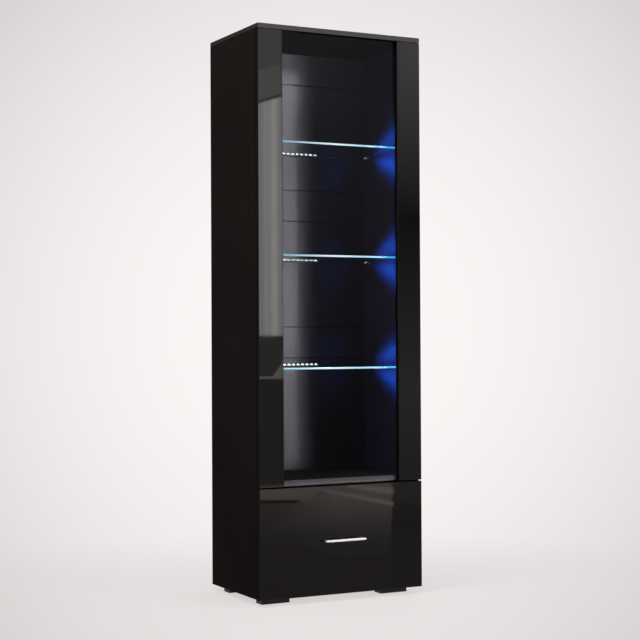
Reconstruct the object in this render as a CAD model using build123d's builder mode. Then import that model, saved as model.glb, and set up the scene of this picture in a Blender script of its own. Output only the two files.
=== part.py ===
from build123d import *
import math
import os

os.makedirs("parts", exist_ok=True)

# A tall display cabinet: one glass door over one drawer, three lit glass shelves.
# Millimetres. X runs to the right, Y to the rear, Z up. The floor is Z = 0.

# Carcass of faced chipboard
body_width = 600
body_height = 1866
carcass_depth = 362
board = 16
edge_round = 0.8
drawer_bay_height = 344

# Fronts
front_thickness = 18
front_round = 1
front_gap = 3
front_spacing = 4
door_top_gap = 1.5
door_drop = 2

# Feet
foot_height = 22
foot_width = 100
foot_depth = 46
foot_inset = 30
foot_round = 2
foot_screw_spacing = 60
foot_bore_depth = 9
foot_bore_play = 1

# Back boards, which stand on each other in grooves of the side panels
back_thickness = 4
back_inset = 10
back_rail_share = 0.0744  # of the display space's height
back_panel_share = 0.2541
back_joint = 0.5
back_chamfer = 1.2
groove_depth = 8
groove_play = 0.2

# Cam fittings and dowels of the panel joints
cam_radius = 7.5
cam_height = 12.5
cam_setback = 24
cam_edge = 40
cam_play = 0.1
bolt_radius = 3
bolt_bore_play = 0.3
bolt_thread_radius = 2.5
bolt_thread_length = 11
bolt_overrun = 1.5
dowel_radius = 4
dowel_in_face = 11
dowel_in_end = 19
dowel_edge = 85
dowel_play = 0.05

# Pan-head screws that hold small fittings to the boards
screw_radius = 1.6
screw_length = 13
screw_head_radius = 3.2
screw_head_height = 1.5
screw_play = 0.05

# Long screws of the feet, the drawer and the handle
bolt_screw_radius = 2
bolt_screw_bite = 11
bolt_screw_head_radius = 4
bolt_screw_head_height = 2.5

# Glass shelves and their pins
shelf_thickness = 6
shelf_depth = 320
shelf_setback = 20
shelf_side_gap = 2
shelf_corner = 4
shelf_edge_chamfer = 0.5
lowest_shelf_share = 0.2459  # of the display space's height
shelf_pitch_share = 0.2545
peg_radius = 2.5
peg_depth = 9
peg_play = 0.05
tongue_reach = 11
tongue_width = 10
tongue_thickness = 2.5
peg_edge = 30

# Lamp bars on the rear edge of the shelves
lens_count = 11
lens_pitch = 17.6
lens_radius = 6
lens_depth = 3
lens_round = 1.2
lamp_bar_end = 2
lamp_bar_lip = 6
lamp_bar_wall = 1.2
lamp_bar_back = 4
lamp_bar_play = 0.2

# Low-voltage leads behind the back boards, and the block where they meet
lead_radius = 1.5
lead_bend = 5
lead_spacing = 6
lead_stand = 1.2
lead_hole_play = 1.5
inlet_width = 36
inlet_height = 40
inlet_depth = 8
inlet_drop = 111
inlet_mouth_width = 7
inlet_mouth_depth = 3.5
inlet_mouth_length = 12

# Door
stile_width = 87
glass_thickness = 4
glass_hold = 12
glass_side_gap = 2
glass_edge_chamfer = 0.5
bead_thickness = 1
bead_play = 0.2
bumper_radius = 4
bumper_edge = 60
bumper_clearance = 0.3

# Concealed hinges: a cup in the stile, a pin in the cup, an arm on a plate on the panel
cup_radius = 17.5
cup_edge = 3
cup_wall = 1
cup_floor_play = 0.5
cup_fit = 0.1
flange_thickness = 1
flange_length = 62
flange_width = 28
flange_offset = 4
flange_corner = 6
flange_rim = 1.5
cup_screw_offset = 9.5
cup_screw_spacing = 45
hinge_pin_radius = 1.4
hinge_pin_depth = 9
hinge_pin_bite = 4
hinge_pin_fit = 0.02
hinge_pin_running = 0.05
swing_clearance = 0.6
knuckle_wall = 0.9
lug_reach = 3
arm_width = 6
arm_gauge = 2.4
arm_play = 0.7
arm_stand = 7
arm_rear = 62
arm_neck = 6
arm_body_width = 12
arm_body_wall = 1.2
arm_body_play = 0.3
plate_thickness = 2
plate_length = 48
plate_width = 16
plate_setback = 37
plate_screw_spacing = 32
arm_screw_setback = 54
hinge_end_distance = 100

# Push latch beside the door's free edge
latch_width = 14
latch_length = 55
latch_height = 14
latch_setback = 1
latch_wing_thickness = 3
latch_wing_width = 20
latch_wing_height = 34
latch_screw_spacing = 24
plunger_radius = 4
plunger_length = 36
plunger_play = 0.1
plunger_bore = 46
plunger_clearance = 0.3
plunger_round = 1
strike_radius = 6
strike_thickness = 1

# Drawer box and its telescopic runners
drawer_side_thickness = 12
drawer_height = 220
drawer_depth = 320
drawer_lift = 24
drawer_bottom_thickness = 3
drawer_groove_up = 10
drawer_groove_depth = 6
drawer_groove_play = 0.1
drawer_bottom_gap = 0.4
drawer_cam_radius = 6
drawer_cam_height = 9
drawer_fixing_shares = (0.43, 0.82)  # of the drawer box's height
runner_space = 13
runner_length = 300
runner_setback = 2
runner_height = 45
runner_gauge = 1.2
runner_race = 3
runner_ball_play = 0.05
runner_up = 50
runner_outer_reach = 9
runner_middle_stand = 3.4
runner_middle_reach = 6.6
runner_inner_reach = 6.4
runner_balls_per_row = 3
runner_ball_pitch = 24
runner_ball_front = 30
runner_ball_rear = 215
runner_screw_end = 25

# Handle of the drawer
handle_length = 152
handle_centres = 128
handle_height = 8.5
handle_tip_height = 5
handle_thickness = 6.5
handle_projection = 24
handle_round = 1.6
handle_post_radius = 3.6
handle_thread_depth = 8
handle_thread_end = 1
handle_hole_play = 0.2

# Places that follow from the sizes above
half_width = body_width / 2
inner_half = half_width - board
overall_depth = carcass_depth + front_gap + front_thickness + handle_projection
y_rear = overall_depth / 2
y_carcass = y_rear - carcass_depth
y_front_rear = y_carcass - front_gap
y_front = y_front_rear - front_thickness
y_back_rear = y_rear - back_inset
y_back = y_back_rear - back_thickness
z_body = foot_height
z_floor = z_body + board
z_divider = z_floor + drawer_bay_height
z_display = z_divider + board
z_ceiling = body_height - board
z_door_low = z_divider - door_drop
z_door_high = z_ceiling - door_top_gap
z_drawer_front = z_door_low - front_spacing
display_height = z_ceiling - z_display
shelf_levels = [
    z_display + (lowest_shelf_share + i * shelf_pitch_share) * display_height for i in range(3)
]
y_shelf_front = y_carcass + shelf_setback
y_shelf_rear = y_shelf_front + shelf_depth
LEFT = -1
RIGHT = 1
SIDE_NAMES = {LEFT: "left", RIGHT: "right"}


def slab(low, high, mode=Mode.ADD):
    """Add or cut a box between two opposite corners in the part being built."""
    size = [abs(b - a) for a, b in zip(low, high)]
    with Locations(tuple((a + b) / 2 for a, b in zip(low, high))):
        Box(*size, mode=mode)


def bar(planes, radius, length, mode=Mode.ADD):
    """Add or cut a round bar that rises from each plane in the part being built."""
    with Locations(*planes):
        Cylinder(radius, length, align=(Align.CENTER, Align.CENTER, Align.MIN), mode=mode)


def bore(planes, radius, depth):
    """Cut a round hole that goes down from each plane in the part being built."""
    with Locations(*planes):
        Cylinder(
            radius, depth, align=(Align.CENTER, Align.CENTER, Align.MAX), mode=Mode.SUBTRACT
        )


def screws(planes, radius, length, head_radius, head_height):
    """Add a pan-head screw at each plane, with its head standing on the plane."""
    with Locations(*planes):
        Cylinder(radius, length, align=(Align.CENTER, Align.CENTER, Align.MAX))
        Cylinder(head_radius, head_height, align=(Align.CENTER, Align.CENTER, Align.MIN))


def keep(builder, name):
    """Name a finished part and write it to its own file."""
    builder.part.label = name
    export_step(builder.part, f"parts/{name}.step")


# Frames of the panel joints. Each lies on the joint, with Z into the panel whose end
# is joined and X towards the face of that panel that takes the cam.
joint_depths = [y_carcass + cam_edge, y_back - cam_edge]
dowel_depths = [y_carcass + dowel_edge, y_back - dowel_edge]


def level_joint(side, y, z):
    """Frame of the joint between a side panel and the end of a level panel."""
    return Plane(origin=(side * inner_half, y, z), x_dir=(0, 0, -1), z_dir=(-side, 0, 0))


def top_joint(side, y):
    """Frame of the joint between the top panel and the upper end of a side panel."""
    x = side * (half_width - board / 2)
    return Plane(origin=(x, y, z_ceiling), x_dir=(-side, 0, 0), z_dir=(0, 0, -1))


def cam_face(frame, thickness, setback):
    """Plane on the face that takes the cam of a joint, with Z out of the board."""
    origin = frame.origin + frame.x_dir * (thickness / 2) + frame.z_dir * setback
    return Plane(origin=origin, x_dir=frame.z_dir, z_dir=frame.x_dir)


def joints(depths, z):
    """Frames of both ends of a level panel whose middle is at a height."""
    return {side: [level_joint(side, y, z) for y in depths] for side in (LEFT, RIGHT)}


bottom_cams = joints(joint_depths, z_body + board / 2)
divider_cams = joints(joint_depths, z_divider + board / 2)
top_cams = {side: [top_joint(side, y) for y in joint_depths] for side in (LEFT, RIGHT)}
bottom_dowels = joints(dowel_depths, z_body + board / 2)
divider_dowels = joints(dowel_depths, z_divider + board / 2)
top_dowels = {side: [top_joint(side, y) for y in dowel_depths] for side in (LEFT, RIGHT)}
all_cams = [
    frame
    for group in (bottom_cams, divider_cams, top_cams)
    for side in (LEFT, RIGHT)
    for frame in group[side]
]
all_dowels = [
    frame
    for group in (bottom_dowels, divider_dowels, top_dowels)
    for side in (LEFT, RIGHT)
    for frame in group[side]
]


def cut_cam_side(frames, thickness, radius, height):
    """Cut the cam holes and bolt holes of the panel whose end is joined."""
    bore([cam_face(f, thickness, cam_setback) for f in frames], radius + cam_play, height)
    bar(frames, bolt_radius + bolt_bore_play, cam_setback, Mode.SUBTRACT)


def cut_bolt_side(frames):
    """Cut the threaded holes of the panel that carries the cam bolts."""
    bore(frames, bolt_thread_radius + screw_play, bolt_thread_length)


def cut_dowels(frames):
    """Cut both halves of the dowel holes wherever the panel being built lies."""
    bar(frames, dowel_radius + dowel_play, dowel_in_end, Mode.SUBTRACT)
    bore(frames, dowel_radius + dowel_play, dowel_in_face)


# Places of the hinges on the right, the latch on the left and the drawer runners
arm_u = board + arm_stand
knuckle_radius = hinge_pin_radius + knuckle_wall
swing_radius = hinge_pin_depth + front_gap - swing_clearance
hinge_pin_inset = math.sqrt(swing_radius**2 - hinge_pin_depth**2)
x_hinge_pin = half_width - hinge_pin_inset
y_hinge_pin = y_front_rear - hinge_pin_depth
x_cup = half_width - cup_edge - cup_radius
x_arm = half_width - arm_u
hinge_levels = [
    z_door_low + hinge_end_distance,
    (shelf_levels[0] + shelf_levels[1]) / 2,
    z_door_high - hinge_end_distance,
]
latch_level = (shelf_levels[1] + shelf_levels[2]) / 2
x_latch = -(inner_half - latch_width / 2)
drawer_low = z_floor + drawer_lift
drawer_high = drawer_low + drawer_height
x_drawer = inner_half - runner_space
runner_level = drawer_low + runner_up
y_runner = y_carcass + runner_setback
runner_screw_depths = [
    y_runner + runner_screw_end,
    y_runner + runner_length / 2,
    y_runner + runner_length - runner_screw_end,
]


def on_panel(side, rise, y, z):
    """Plane at a height above a side panel's inner face, with Z into the cabinet."""
    return Plane(origin=(side * (inner_half - rise), y, z), x_dir=(0, 1, 0), z_dir=(-side, 0, 0))


plate_screws = [
    on_panel(RIGHT, plate_thickness, y_carcass + plate_setback, z + dz)
    for z in hinge_levels
    for dz in (-plate_screw_spacing / 2, plate_screw_spacing / 2)
]
arm_screws = [
    on_panel(RIGHT, arm_stand + arm_gauge / 2, y_carcass + arm_screw_setback, z)
    for z in hinge_levels
]
latch_screws = [
    on_panel(LEFT, latch_wing_thickness, y_carcass + latch_setback + latch_length / 2, latch_level + dz)
    for dz in (-latch_screw_spacing / 2, latch_screw_spacing / 2)
]
runner_screws = {
    side: [on_panel(side, runner_gauge, y, runner_level) for y in runner_screw_depths]
    for side in (LEFT, RIGHT)
}
panel_screws = {
    LEFT: latch_screws + runner_screws[LEFT],
    RIGHT: plate_screws + arm_screws + runner_screws[RIGHT],
}
peg_planes = {
    side: [
        on_panel(side, 0, y, z - peg_radius)
        for z in shelf_levels
        for y in (y_shelf_front + peg_edge, y_shelf_rear - peg_edge)
    ]
    for side in (LEFT, RIGHT)
}

# Side panels, grooved for the back boards and drilled for all that they carry
for side in (LEFT, RIGHT):
    with BuildPart() as side_panel:
        slab(
            (side * inner_half, y_carcass, z_body),
            (side * half_width, y_rear, z_ceiling),
        )
        fillet(side_panel.faces().sort_by(Axis.X)[0 if side == LEFT else -1].edges(), edge_round)
        slab(
            (side * inner_half, y_back - groove_play, z_body),
            (side * (inner_half + groove_depth), y_back_rear + groove_play, z_ceiling),
            Mode.SUBTRACT,
        )
        bore(peg_planes[side], peg_radius + peg_play, peg_depth)
        bore(panel_screws[side], screw_radius + screw_play, screw_length)
        cut_bolt_side(bottom_cams[side] + divider_cams[side])
        cut_cam_side(top_cams[side], board, cam_radius, cam_height)
        cut_dowels(bottom_dowels[side] + divider_dowels[side] + top_dowels[side])
    keep(side_panel, f"side_panel_{SIDE_NAMES[side]}")

# Top panel, which covers the sides and reaches over the fronts
with BuildPart() as top_panel:
    slab((-half_width, y_front, z_ceiling), (half_width, y_rear, body_height))
    fillet(top_panel.edges(), edge_round)
    cut_bolt_side(top_cams[LEFT] + top_cams[RIGHT])
    cut_dowels(top_dowels[LEFT] + top_dowels[RIGHT])
keep(top_panel, "top_panel")

# Bottom panel, which the feet are screwed to
foot_centres = {
    (end, SIDE_NAMES[side]): (side * (half_width - foot_inset - foot_width / 2), y)
    for side in (LEFT, RIGHT)
    for end, y in (
        ("front", y_carcass + foot_inset + foot_depth / 2),
        ("rear", y_rear - foot_inset - foot_depth / 2),
    )
}
foot_screw_planes = [
    Plane(origin=(x + dx, y, foot_bore_depth), x_dir=(1, 0, 0), z_dir=(0, 0, -1))
    for x, y in foot_centres.values()
    for dx in (-foot_screw_spacing / 2, foot_screw_spacing / 2)
]
foot_screw_length = foot_height - foot_bore_depth + bolt_screw_bite
with BuildPart() as bottom_panel:
    slab((-inner_half, y_carcass, z_body), (inner_half, y_back, z_floor))
    cut_cam_side(bottom_cams[LEFT] + bottom_cams[RIGHT], board, cam_radius, cam_height)
    cut_dowels(bottom_dowels[LEFT] + bottom_dowels[RIGHT])
    bore(foot_screw_planes, bolt_screw_radius + screw_play, foot_screw_length)
keep(bottom_panel, "bottom_panel")

# Divider panel between the drawer and the display space
with BuildPart() as divider_panel:
    slab((-inner_half, y_carcass, z_divider), (inner_half, y_back, z_display))
    cut_cam_side(divider_cams[LEFT] + divider_cams[RIGHT], board, cam_radius, cam_height)
    cut_dowels(divider_dowels[LEFT] + divider_dowels[RIGHT])
keep(divider_panel, "divider_panel")

# Fittings of the panel joints
with BuildPart() as cam_bolts:
    with Locations(*all_cams):
        Cylinder(
            bolt_thread_radius, bolt_thread_length, align=(Align.CENTER, Align.CENTER, Align.MAX)
        )
    bar(all_cams, bolt_radius, cam_setback + bolt_overrun)
keep(cam_bolts, "cam_bolts")

with BuildPart() as cam_locks:
    with Locations(*[cam_face(f, board, cam_setback) for f in all_cams]):
        Cylinder(cam_radius, cam_height, align=(Align.CENTER, Align.CENTER, Align.MAX))
    bar(all_cams, bolt_radius + bolt_bore_play, cam_setback + 2 * bolt_overrun, Mode.SUBTRACT)
keep(cam_locks, "cam_locks")

with BuildPart() as joint_dowels:
    bar(all_dowels, dowel_radius, dowel_in_end)
    with Locations(*all_dowels):
        Cylinder(dowel_radius, dowel_in_face, align=(Align.CENTER, Align.CENTER, Align.MAX))
keep(joint_dowels, "joint_dowels")

# Back boards: rails and panels in turn from the top down to a joint behind the divider
x_back = inner_half + groove_depth - groove_play
back_rail_height = back_rail_share * display_height
back_panel_height = back_panel_share * display_height
rail_levels = []
panel_levels = []
z_next = z_ceiling
for i in range(3):
    rail_levels.append((z_next - back_rail_height, z_next))
    z_next -= back_rail_height
    z_panel_low = z_divider + board / 2 if i == 2 else z_next - back_panel_height
    panel_levels.append((z_panel_low, z_next))
    z_next = z_panel_low
panel_levels.append((z_body, z_next))
y_lamp_rear = y_shelf_rear + lamp_bar_play + lamp_bar_back
lead_starts = [
    Vector((i - 1) * lead_spacing, y_lamp_rear, z + shelf_thickness / 2)
    for i, z in enumerate(shelf_levels)
]


def back_board(low, high):
    """Add one back board between two heights, its level front edges chamfered."""
    slab((-x_back, y_back, low + back_joint / 2), (x_back, y_back_rear, high - back_joint / 2))


with BuildPart() as back_rails:
    for low, high in rail_levels:
        back_board(low, high)
    chamfer(back_rails.edges().filter_by(Axis.X).group_by(Axis.Y)[0], back_chamfer)
keep(back_rails, "back_rails")

for name, (low, high) in zip(("upper", "middle", "lower", "drawer"), panel_levels):
    with BuildPart() as back_panel:
        back_board(low, high)
        chamfer(back_panel.edges().filter_by(Axis.X).group_by(Axis.Y)[0], back_chamfer)
        for start in lead_starts:
            if low < start.Z < high:
                hole = Plane(origin=(start.X, y_back_rear, start.Z), z_dir=(0, 1, 0))
                bore([hole], lead_radius + lead_hole_play, back_thickness)
    keep(back_panel, f"back_panel_{name}")

# Feet
for (end, side_name), (x, y) in foot_centres.items():
    with BuildPart() as foot:
        slab(
            (x - foot_width / 2, y - foot_depth / 2, 0),
            (x + foot_width / 2, y + foot_depth / 2, foot_height),
        )
        fillet(foot.edges().filter_by(Axis.Z), foot_round)
        for dx in (-foot_screw_spacing / 2, foot_screw_spacing / 2):
            with Locations(Plane(origin=(x + dx, y, 0), x_dir=(1, 0, 0), z_dir=(0, 0, -1))):
                CounterBoreHole(
                    bolt_screw_radius + screw_play,
                    bolt_screw_head_radius + foot_bore_play,
                    foot_bore_depth,
                    foot_height,
                )
    keep(foot, f"foot_{end}_{side_name}")

with BuildPart() as foot_screws:
    screws(
        foot_screw_planes,
        bolt_screw_radius,
        foot_screw_length,
        bolt_screw_head_radius,
        bolt_screw_head_height,
    )
keep(foot_screws, "foot_screws")

# Glass shelves
x_shelf = inner_half - shelf_side_gap
for name, z in zip(("lower", "middle", "upper"), shelf_levels):
    with BuildPart() as glass_shelf:
        slab((-x_shelf, y_shelf_front, z), (x_shelf, y_shelf_rear, z + shelf_thickness))
        fillet(glass_shelf.edges().filter_by(Axis.Z), shelf_corner)
        chamfer(
            glass_shelf.edges().group_by(Axis.Z)[0] + glass_shelf.edges().group_by(Axis.Z)[-1],
            shelf_edge_chamfer,
        )
    keep(glass_shelf, f"glass_shelf_{name}")

# Shelf pins: a peg in the panel and a flat tongue under the glass
with BuildPart() as shelf_pins:
    for side in (LEFT, RIGHT):
        with Locations(*peg_planes[side]):
            Cylinder(peg_radius, peg_depth, align=(Align.CENTER, Align.CENTER, Align.MAX))
        for plane in peg_planes[side]:
            y = plane.origin.Y
            z = plane.origin.Z + peg_radius
            slab(
                (side * inner_half, y - tongue_width / 2, z - tongue_thickness),
                (side * (inner_half - tongue_reach), y + tongue_width / 2, z),
            )
keep(shelf_pins, "shelf_pins")

# Lamp bars: a channel on the rear edge of the glass with an upright behind the lenses
lens_row = (lens_count - 1) * lens_pitch
lamp_bar_length = lens_row + 2 * (lens_radius + lamp_bar_end)
y_lamp_front = y_shelf_rear - lamp_bar_lip
y_lamp_wall = y_shelf_rear + lamp_bar_play
for name, z in zip(("lower", "middle", "upper"), shelf_levels):
    z_slot_low = z - lamp_bar_play
    z_slot_high = z + shelf_thickness + lamp_bar_play
    z_lamp_low = z_slot_low - lamp_bar_wall
    z_lamp_lip = z_slot_high + lamp_bar_wall
    z_lamp_high = z_lamp_lip + lens_radius + lamp_bar_wall
    half_length = lamp_bar_length / 2
    with BuildPart() as lamp_bar:
        slab((-half_length, y_lamp_front, z_lamp_low), (half_length, y_lamp_rear, z_lamp_lip))
        slab((-half_length, y_lamp_wall, z_lamp_lip), (half_length, y_lamp_rear, z_lamp_high))
        slab(
            (-half_length, y_lamp_front, z_slot_low),
            (half_length, y_lamp_wall, z_slot_high),
            Mode.SUBTRACT,
        )
    keep(lamp_bar, f"lamp_bar_{name}")

with BuildPart() as lamp_lenses:
    for z in shelf_levels:
        z_lens = z + shelf_thickness + lamp_bar_play + lamp_bar_wall
        with BuildSketch(Plane((0, y_lamp_wall, z_lens), x_dir=(1, 0, 0), z_dir=(0, -1, 0))):
            with GridLocations(lens_pitch, 1, lens_count, 1):
                Circle(lens_radius)
            with Locations((0, -lens_radius)):
                Rectangle(lamp_bar_length, 2 * lens_radius, mode=Mode.SUBTRACT)
        extrude(amount=lens_depth)
    fillet(
        lamp_lenses.edges().filter_by(GeomType.CIRCLE).group_by(Axis.Y)[0],
        lens_round,
    )
keep(lamp_lenses, "lamp_lenses")

# Leads from the lamp bars through the back boards down to the inlet block
y_lead = y_back_rear + lead_stand + lead_radius
z_inlet_high = z_divider - inlet_drop
with BuildPart() as lamp_leads:
    for start in lead_starts:
        with BuildLine() as lead_path:
            FilletPolyline(
                start,
                (start.X, y_lead, start.Z),
                (start.X, y_lead, z_inlet_high),
                radius=lead_bend,
            )
        with BuildSketch(Plane(origin=start, z_dir=(0, 1, 0))) as lead_section:
            Circle(lead_radius)
        sweep(sections=lead_section.sketch, path=lead_path.line)
keep(lamp_leads, "lamp_leads")

with BuildPart() as lamp_inlet:
    slab(
        (-inlet_width / 2, y_back_rear, z_inlet_high - inlet_height),
        (inlet_width / 2, y_back_rear + inlet_depth, z_inlet_high),
    )
    fillet(lamp_inlet.edges().filter_by(Axis.Y), edge_round)
    slab(
        (
            -inlet_mouth_width / 2,
            y_back_rear + (inlet_depth - inlet_mouth_depth) / 2,
            z_inlet_high - inlet_height,
        ),
        (
            inlet_mouth_width / 2,
            y_back_rear + (inlet_depth + inlet_mouth_depth) / 2,
            z_inlet_high - inlet_height + inlet_mouth_length,
        ),
        Mode.SUBTRACT,
    )
keep(lamp_inlet, "lamp_inlet")

# Hinge plates on the right panel: wings for the screws and a ridge for the arm
ridge_rise = arm_stand - arm_gauge / 2
ridge_half = arm_body_width / 2 - arm_body_wall - arm_body_play
with BuildPart() as hinge_plates:
    for z in hinge_levels:
        slab(
            (inner_half, y_carcass + plate_setback - plate_width / 2, z - plate_length / 2),
            (
                inner_half - plate_thickness,
                y_carcass + plate_setback + plate_width / 2,
                z + plate_length / 2,
            ),
        )
        slab(
            (inner_half, y_carcass + plate_setback - plate_width, z - ridge_half),
            (inner_half - ridge_rise, y_carcass + arm_rear, z + ridge_half),
        )
    bore(plate_screws, screw_radius + screw_play, plate_thickness)
    bore(arm_screws, screw_radius + screw_play, arm_stand + arm_gauge)
keep(hinge_plates, "hinge_plates")

# Hinge arms: a channel over the ridge, and a neck that turns into the cup to the pin
with BuildPart() as hinge_arms:
    for z in hinge_levels:
        slab(
            (x_arm - arm_gauge / 2, y_carcass + arm_neck, z - arm_body_width / 2),
            (x_arm + arm_gauge / 2, y_carcass + arm_rear, z + arm_body_width / 2),
        )
        for edge in (-1, 1):
            slab(
                (
                    x_arm - arm_gauge / 2,
                    y_carcass + arm_neck,
                    z + edge * (arm_body_width / 2 - arm_body_wall),
                ),
                (
                    inner_half - plate_thickness - arm_body_play,
                    y_carcass + arm_rear,
                    z + edge * arm_body_width / 2,
                ),
            )
        slab(
            (x_arm - arm_gauge / 2, y_hinge_pin - arm_gauge / 2, z - arm_width / 2),
            (x_arm + arm_gauge / 2, y_carcass + arm_neck, z + arm_width / 2),
        )
        slab(
            (x_arm - arm_gauge / 2, y_hinge_pin - arm_gauge / 2, z - arm_width / 2),
            (x_hinge_pin, y_hinge_pin + arm_gauge / 2, z + arm_width / 2),
        )
        with Locations((x_hinge_pin, y_hinge_pin, z)):
            Cylinder(knuckle_radius, arm_width)
            Cylinder(hinge_pin_radius + hinge_pin_running, arm_width, mode=Mode.SUBTRACT)
    bore(arm_screws, screw_radius + screw_play, arm_stand + arm_gauge)
keep(hinge_arms, "hinge_arms")

# Hinge cups, each with a screw flange and two lugs that hold the pin
cup_depth = hinge_pin_depth + knuckle_radius + cup_floor_play + cup_wall
lug_start = arm_width / 2 + arm_play
pin_half = lug_start + hinge_pin_bite
y_flange = y_front_rear + flange_thickness
cup_screw_planes = [
    Plane(origin=(x_cup - cup_screw_offset, y_flange, z + dz), x_dir=(1, 0, 0), z_dir=(0, 1, 0))
    for z in hinge_levels
    for dz in (-cup_screw_spacing / 2, cup_screw_spacing / 2)
]
with BuildPart() as hinge_cups:
    for z in hinge_levels:
        face = Plane(origin=(x_cup, y_flange, z), x_dir=(-1, 0, 0), z_dir=(0, 1, 0))
        with BuildSketch(face) as flange_outline:
            with Locations((flange_offset, 0)):
                RectangleRounded(flange_width, flange_length, flange_corner)
            Circle(cup_radius + flange_rim)
        extrude(amount=-flange_thickness)
        with BuildSketch(face) as cup_outline:
            Circle(cup_radius)
        extrude(amount=-(flange_thickness + cup_depth))
        with BuildSketch(face) as cup_hollow:
            Circle(cup_radius - cup_wall)
            lug_width = hinge_pin_inset + lug_reach - cup_edge
            for edge in (-1, 1):
                with Locations((-cup_radius + lug_width / 2, edge * (lug_start + cup_radius / 2))):
                    Rectangle(lug_width, cup_radius, mode=Mode.SUBTRACT)
        extrude(amount=-(flange_thickness + cup_depth - cup_wall), mode=Mode.SUBTRACT)
        with Locations((x_hinge_pin, y_hinge_pin, z)):
            Cylinder(hinge_pin_radius + hinge_pin_fit, 2 * pin_half, mode=Mode.SUBTRACT)
    bore(cup_screw_planes, screw_radius + screw_play, flange_thickness)
keep(hinge_cups, "hinge_cups")

with BuildPart() as hinge_pins:
    with Locations(*[(x_hinge_pin, y_hinge_pin, z) for z in hinge_levels]):
        Cylinder(hinge_pin_radius, 2 * pin_half)
keep(hinge_pins, "hinge_pins")

with BuildPart() as hinge_cup_screws:
    screws(cup_screw_planes, screw_radius, screw_length, screw_head_radius, screw_head_height)
keep(hinge_cup_screws, "hinge_cup_screws")

with BuildPart() as fitting_screws:
    screws(
        panel_screws[LEFT] + panel_screws[RIGHT],
        screw_radius,
        screw_length,
        screw_head_radius,
        screw_head_height,
    )
keep(fitting_screws, "fitting_screws")

# Door: two stiles with a rebate at the rear for the pane
x_stile_inner = half_width - stile_width
x_rebate = x_stile_inner + glass_hold + glass_side_gap
y_glass_rear = y_front_rear - bead_thickness
y_glass = y_glass_rear - glass_thickness
cup_seats = [
    Plane(origin=(x_cup, y_front_rear, z), x_dir=(1, 0, 0), z_dir=(0, 1, 0)) for z in hinge_levels
]
for side in (LEFT, RIGHT):
    with BuildPart() as door_stile:
        slab(
            (side * x_stile_inner, y_front, z_door_low),
            (side * half_width, y_front_rear, z_door_high),
        )
        fillet(door_stile.faces().sort_by(Axis.Y)[0].edges(), front_round)
        slab(
            (side * x_stile_inner, y_glass, z_door_low),
            (side * x_rebate, y_front_rear, z_door_high),
            Mode.SUBTRACT,
        )
        if side == RIGHT:
            bore(cup_seats, cup_radius + cup_fit, cup_depth + cup_fit)
            bore(cup_screw_planes, screw_radius + screw_play, screw_length)
    keep(door_stile, f"door_stile_{SIDE_NAMES[side]}")

with BuildPart() as door_glass:
    x_pane = x_stile_inner + glass_hold
    slab((-x_pane, y_glass, z_door_low), (x_pane, y_glass_rear, z_door_high))
    chamfer(
        door_glass.edges().filter_by(Axis.X),
        glass_edge_chamfer,
    )
keep(door_glass, "door_glass")

for side in (LEFT, RIGHT):
    with BuildPart() as glazing_bead:
        slab(
            (side * x_stile_inner, y_glass_rear, z_door_low),
            (side * (x_rebate - bead_play), y_front_rear, z_door_high),
        )
    keep(glazing_bead, f"glazing_bead_{SIDE_NAMES[side]}")

with BuildPart() as door_bumpers:
    bar(
        [
            Plane(origin=(-(half_width - board / 2), y_front_rear, z), z_dir=(0, 1, 0))
            for z in (z_door_low + bumper_edge, z_door_high - bumper_edge)
        ],
        bumper_radius,
        front_gap - bumper_clearance,
    )
keep(door_bumpers, "door_bumpers")

# Push latch: a housing on the left panel, a plunger in it, a strike plate on the door
y_latch = y_carcass + latch_setback
y_strike = y_front_rear + strike_thickness
y_plunger = y_strike + plunger_clearance
with BuildPart() as latch_housing:
    slab(
        (-inner_half, y_latch, latch_level - latch_height / 2),
        (-(inner_half - latch_width), y_latch + latch_length, latch_level + latch_height / 2),
    )
    fillet(latch_housing.edges().filter_by(Axis.Y).group_by(Axis.X)[-1], edge_round)
    y_wing = y_latch + (latch_length - latch_wing_width) / 2
    slab(
        (-inner_half, y_wing, latch_level - latch_wing_height / 2),
        (
            -(inner_half - latch_wing_thickness),
            y_wing + latch_wing_width,
            latch_level + latch_wing_height / 2,
        ),
    )
    bore(latch_screws, screw_radius + screw_play, latch_wing_thickness)
    bar(
        [Plane(origin=(x_latch, y_latch, latch_level), z_dir=(0, 1, 0))],
        plunger_radius + plunger_play,
        plunger_bore,
        Mode.SUBTRACT,
    )
keep(latch_housing, "latch_housing")

with BuildPart() as latch_plunger:
    bar(
        [Plane(origin=(x_latch, y_plunger, latch_level), z_dir=(0, 1, 0))],
        plunger_radius,
        plunger_length,
    )
    fillet(latch_plunger.faces().sort_by(Axis.Y)[0].edges(), plunger_round)
keep(latch_plunger, "latch_plunger")

with BuildPart() as latch_strike:
    bar(
        [Plane(origin=(x_latch, y_front_rear, latch_level), z_dir=(0, 1, 0))],
        strike_radius,
        strike_thickness,
    )
keep(latch_strike, "latch_strike")

# Runners in three members. Rise is measured from the side panel's inner face.
middle_half = runner_height / 2 - runner_gauge - runner_race
inner_member_half = middle_half - runner_gauge - runner_race


def channel(side, web, reach, half_height):
    """Add a runner channel: a web between two rises, and flanges as far as a rise."""
    web_low, web_high = web
    y_end = y_runner + runner_length
    slab(
        (side * (inner_half - web_low), y_runner, runner_level - half_height),
        (side * (inner_half - web_high), y_end, runner_level + half_height),
    )
    for edge in (-1, 1):
        slab(
            (
                side * (inner_half - web_low),
                y_runner,
                runner_level + edge * (half_height - runner_gauge),
            ),
            (side * (inner_half - reach), y_end, runner_level + edge * half_height),
        )


def drawer_plane(side, y, z):
    """Plane on the outer side of the runner's inner web, with Z towards the panel."""
    x = side * (x_drawer + runner_gauge)
    return Plane(origin=(x, y, z), x_dir=(0, 1, 0), z_dir=(side, 0, 0))


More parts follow.
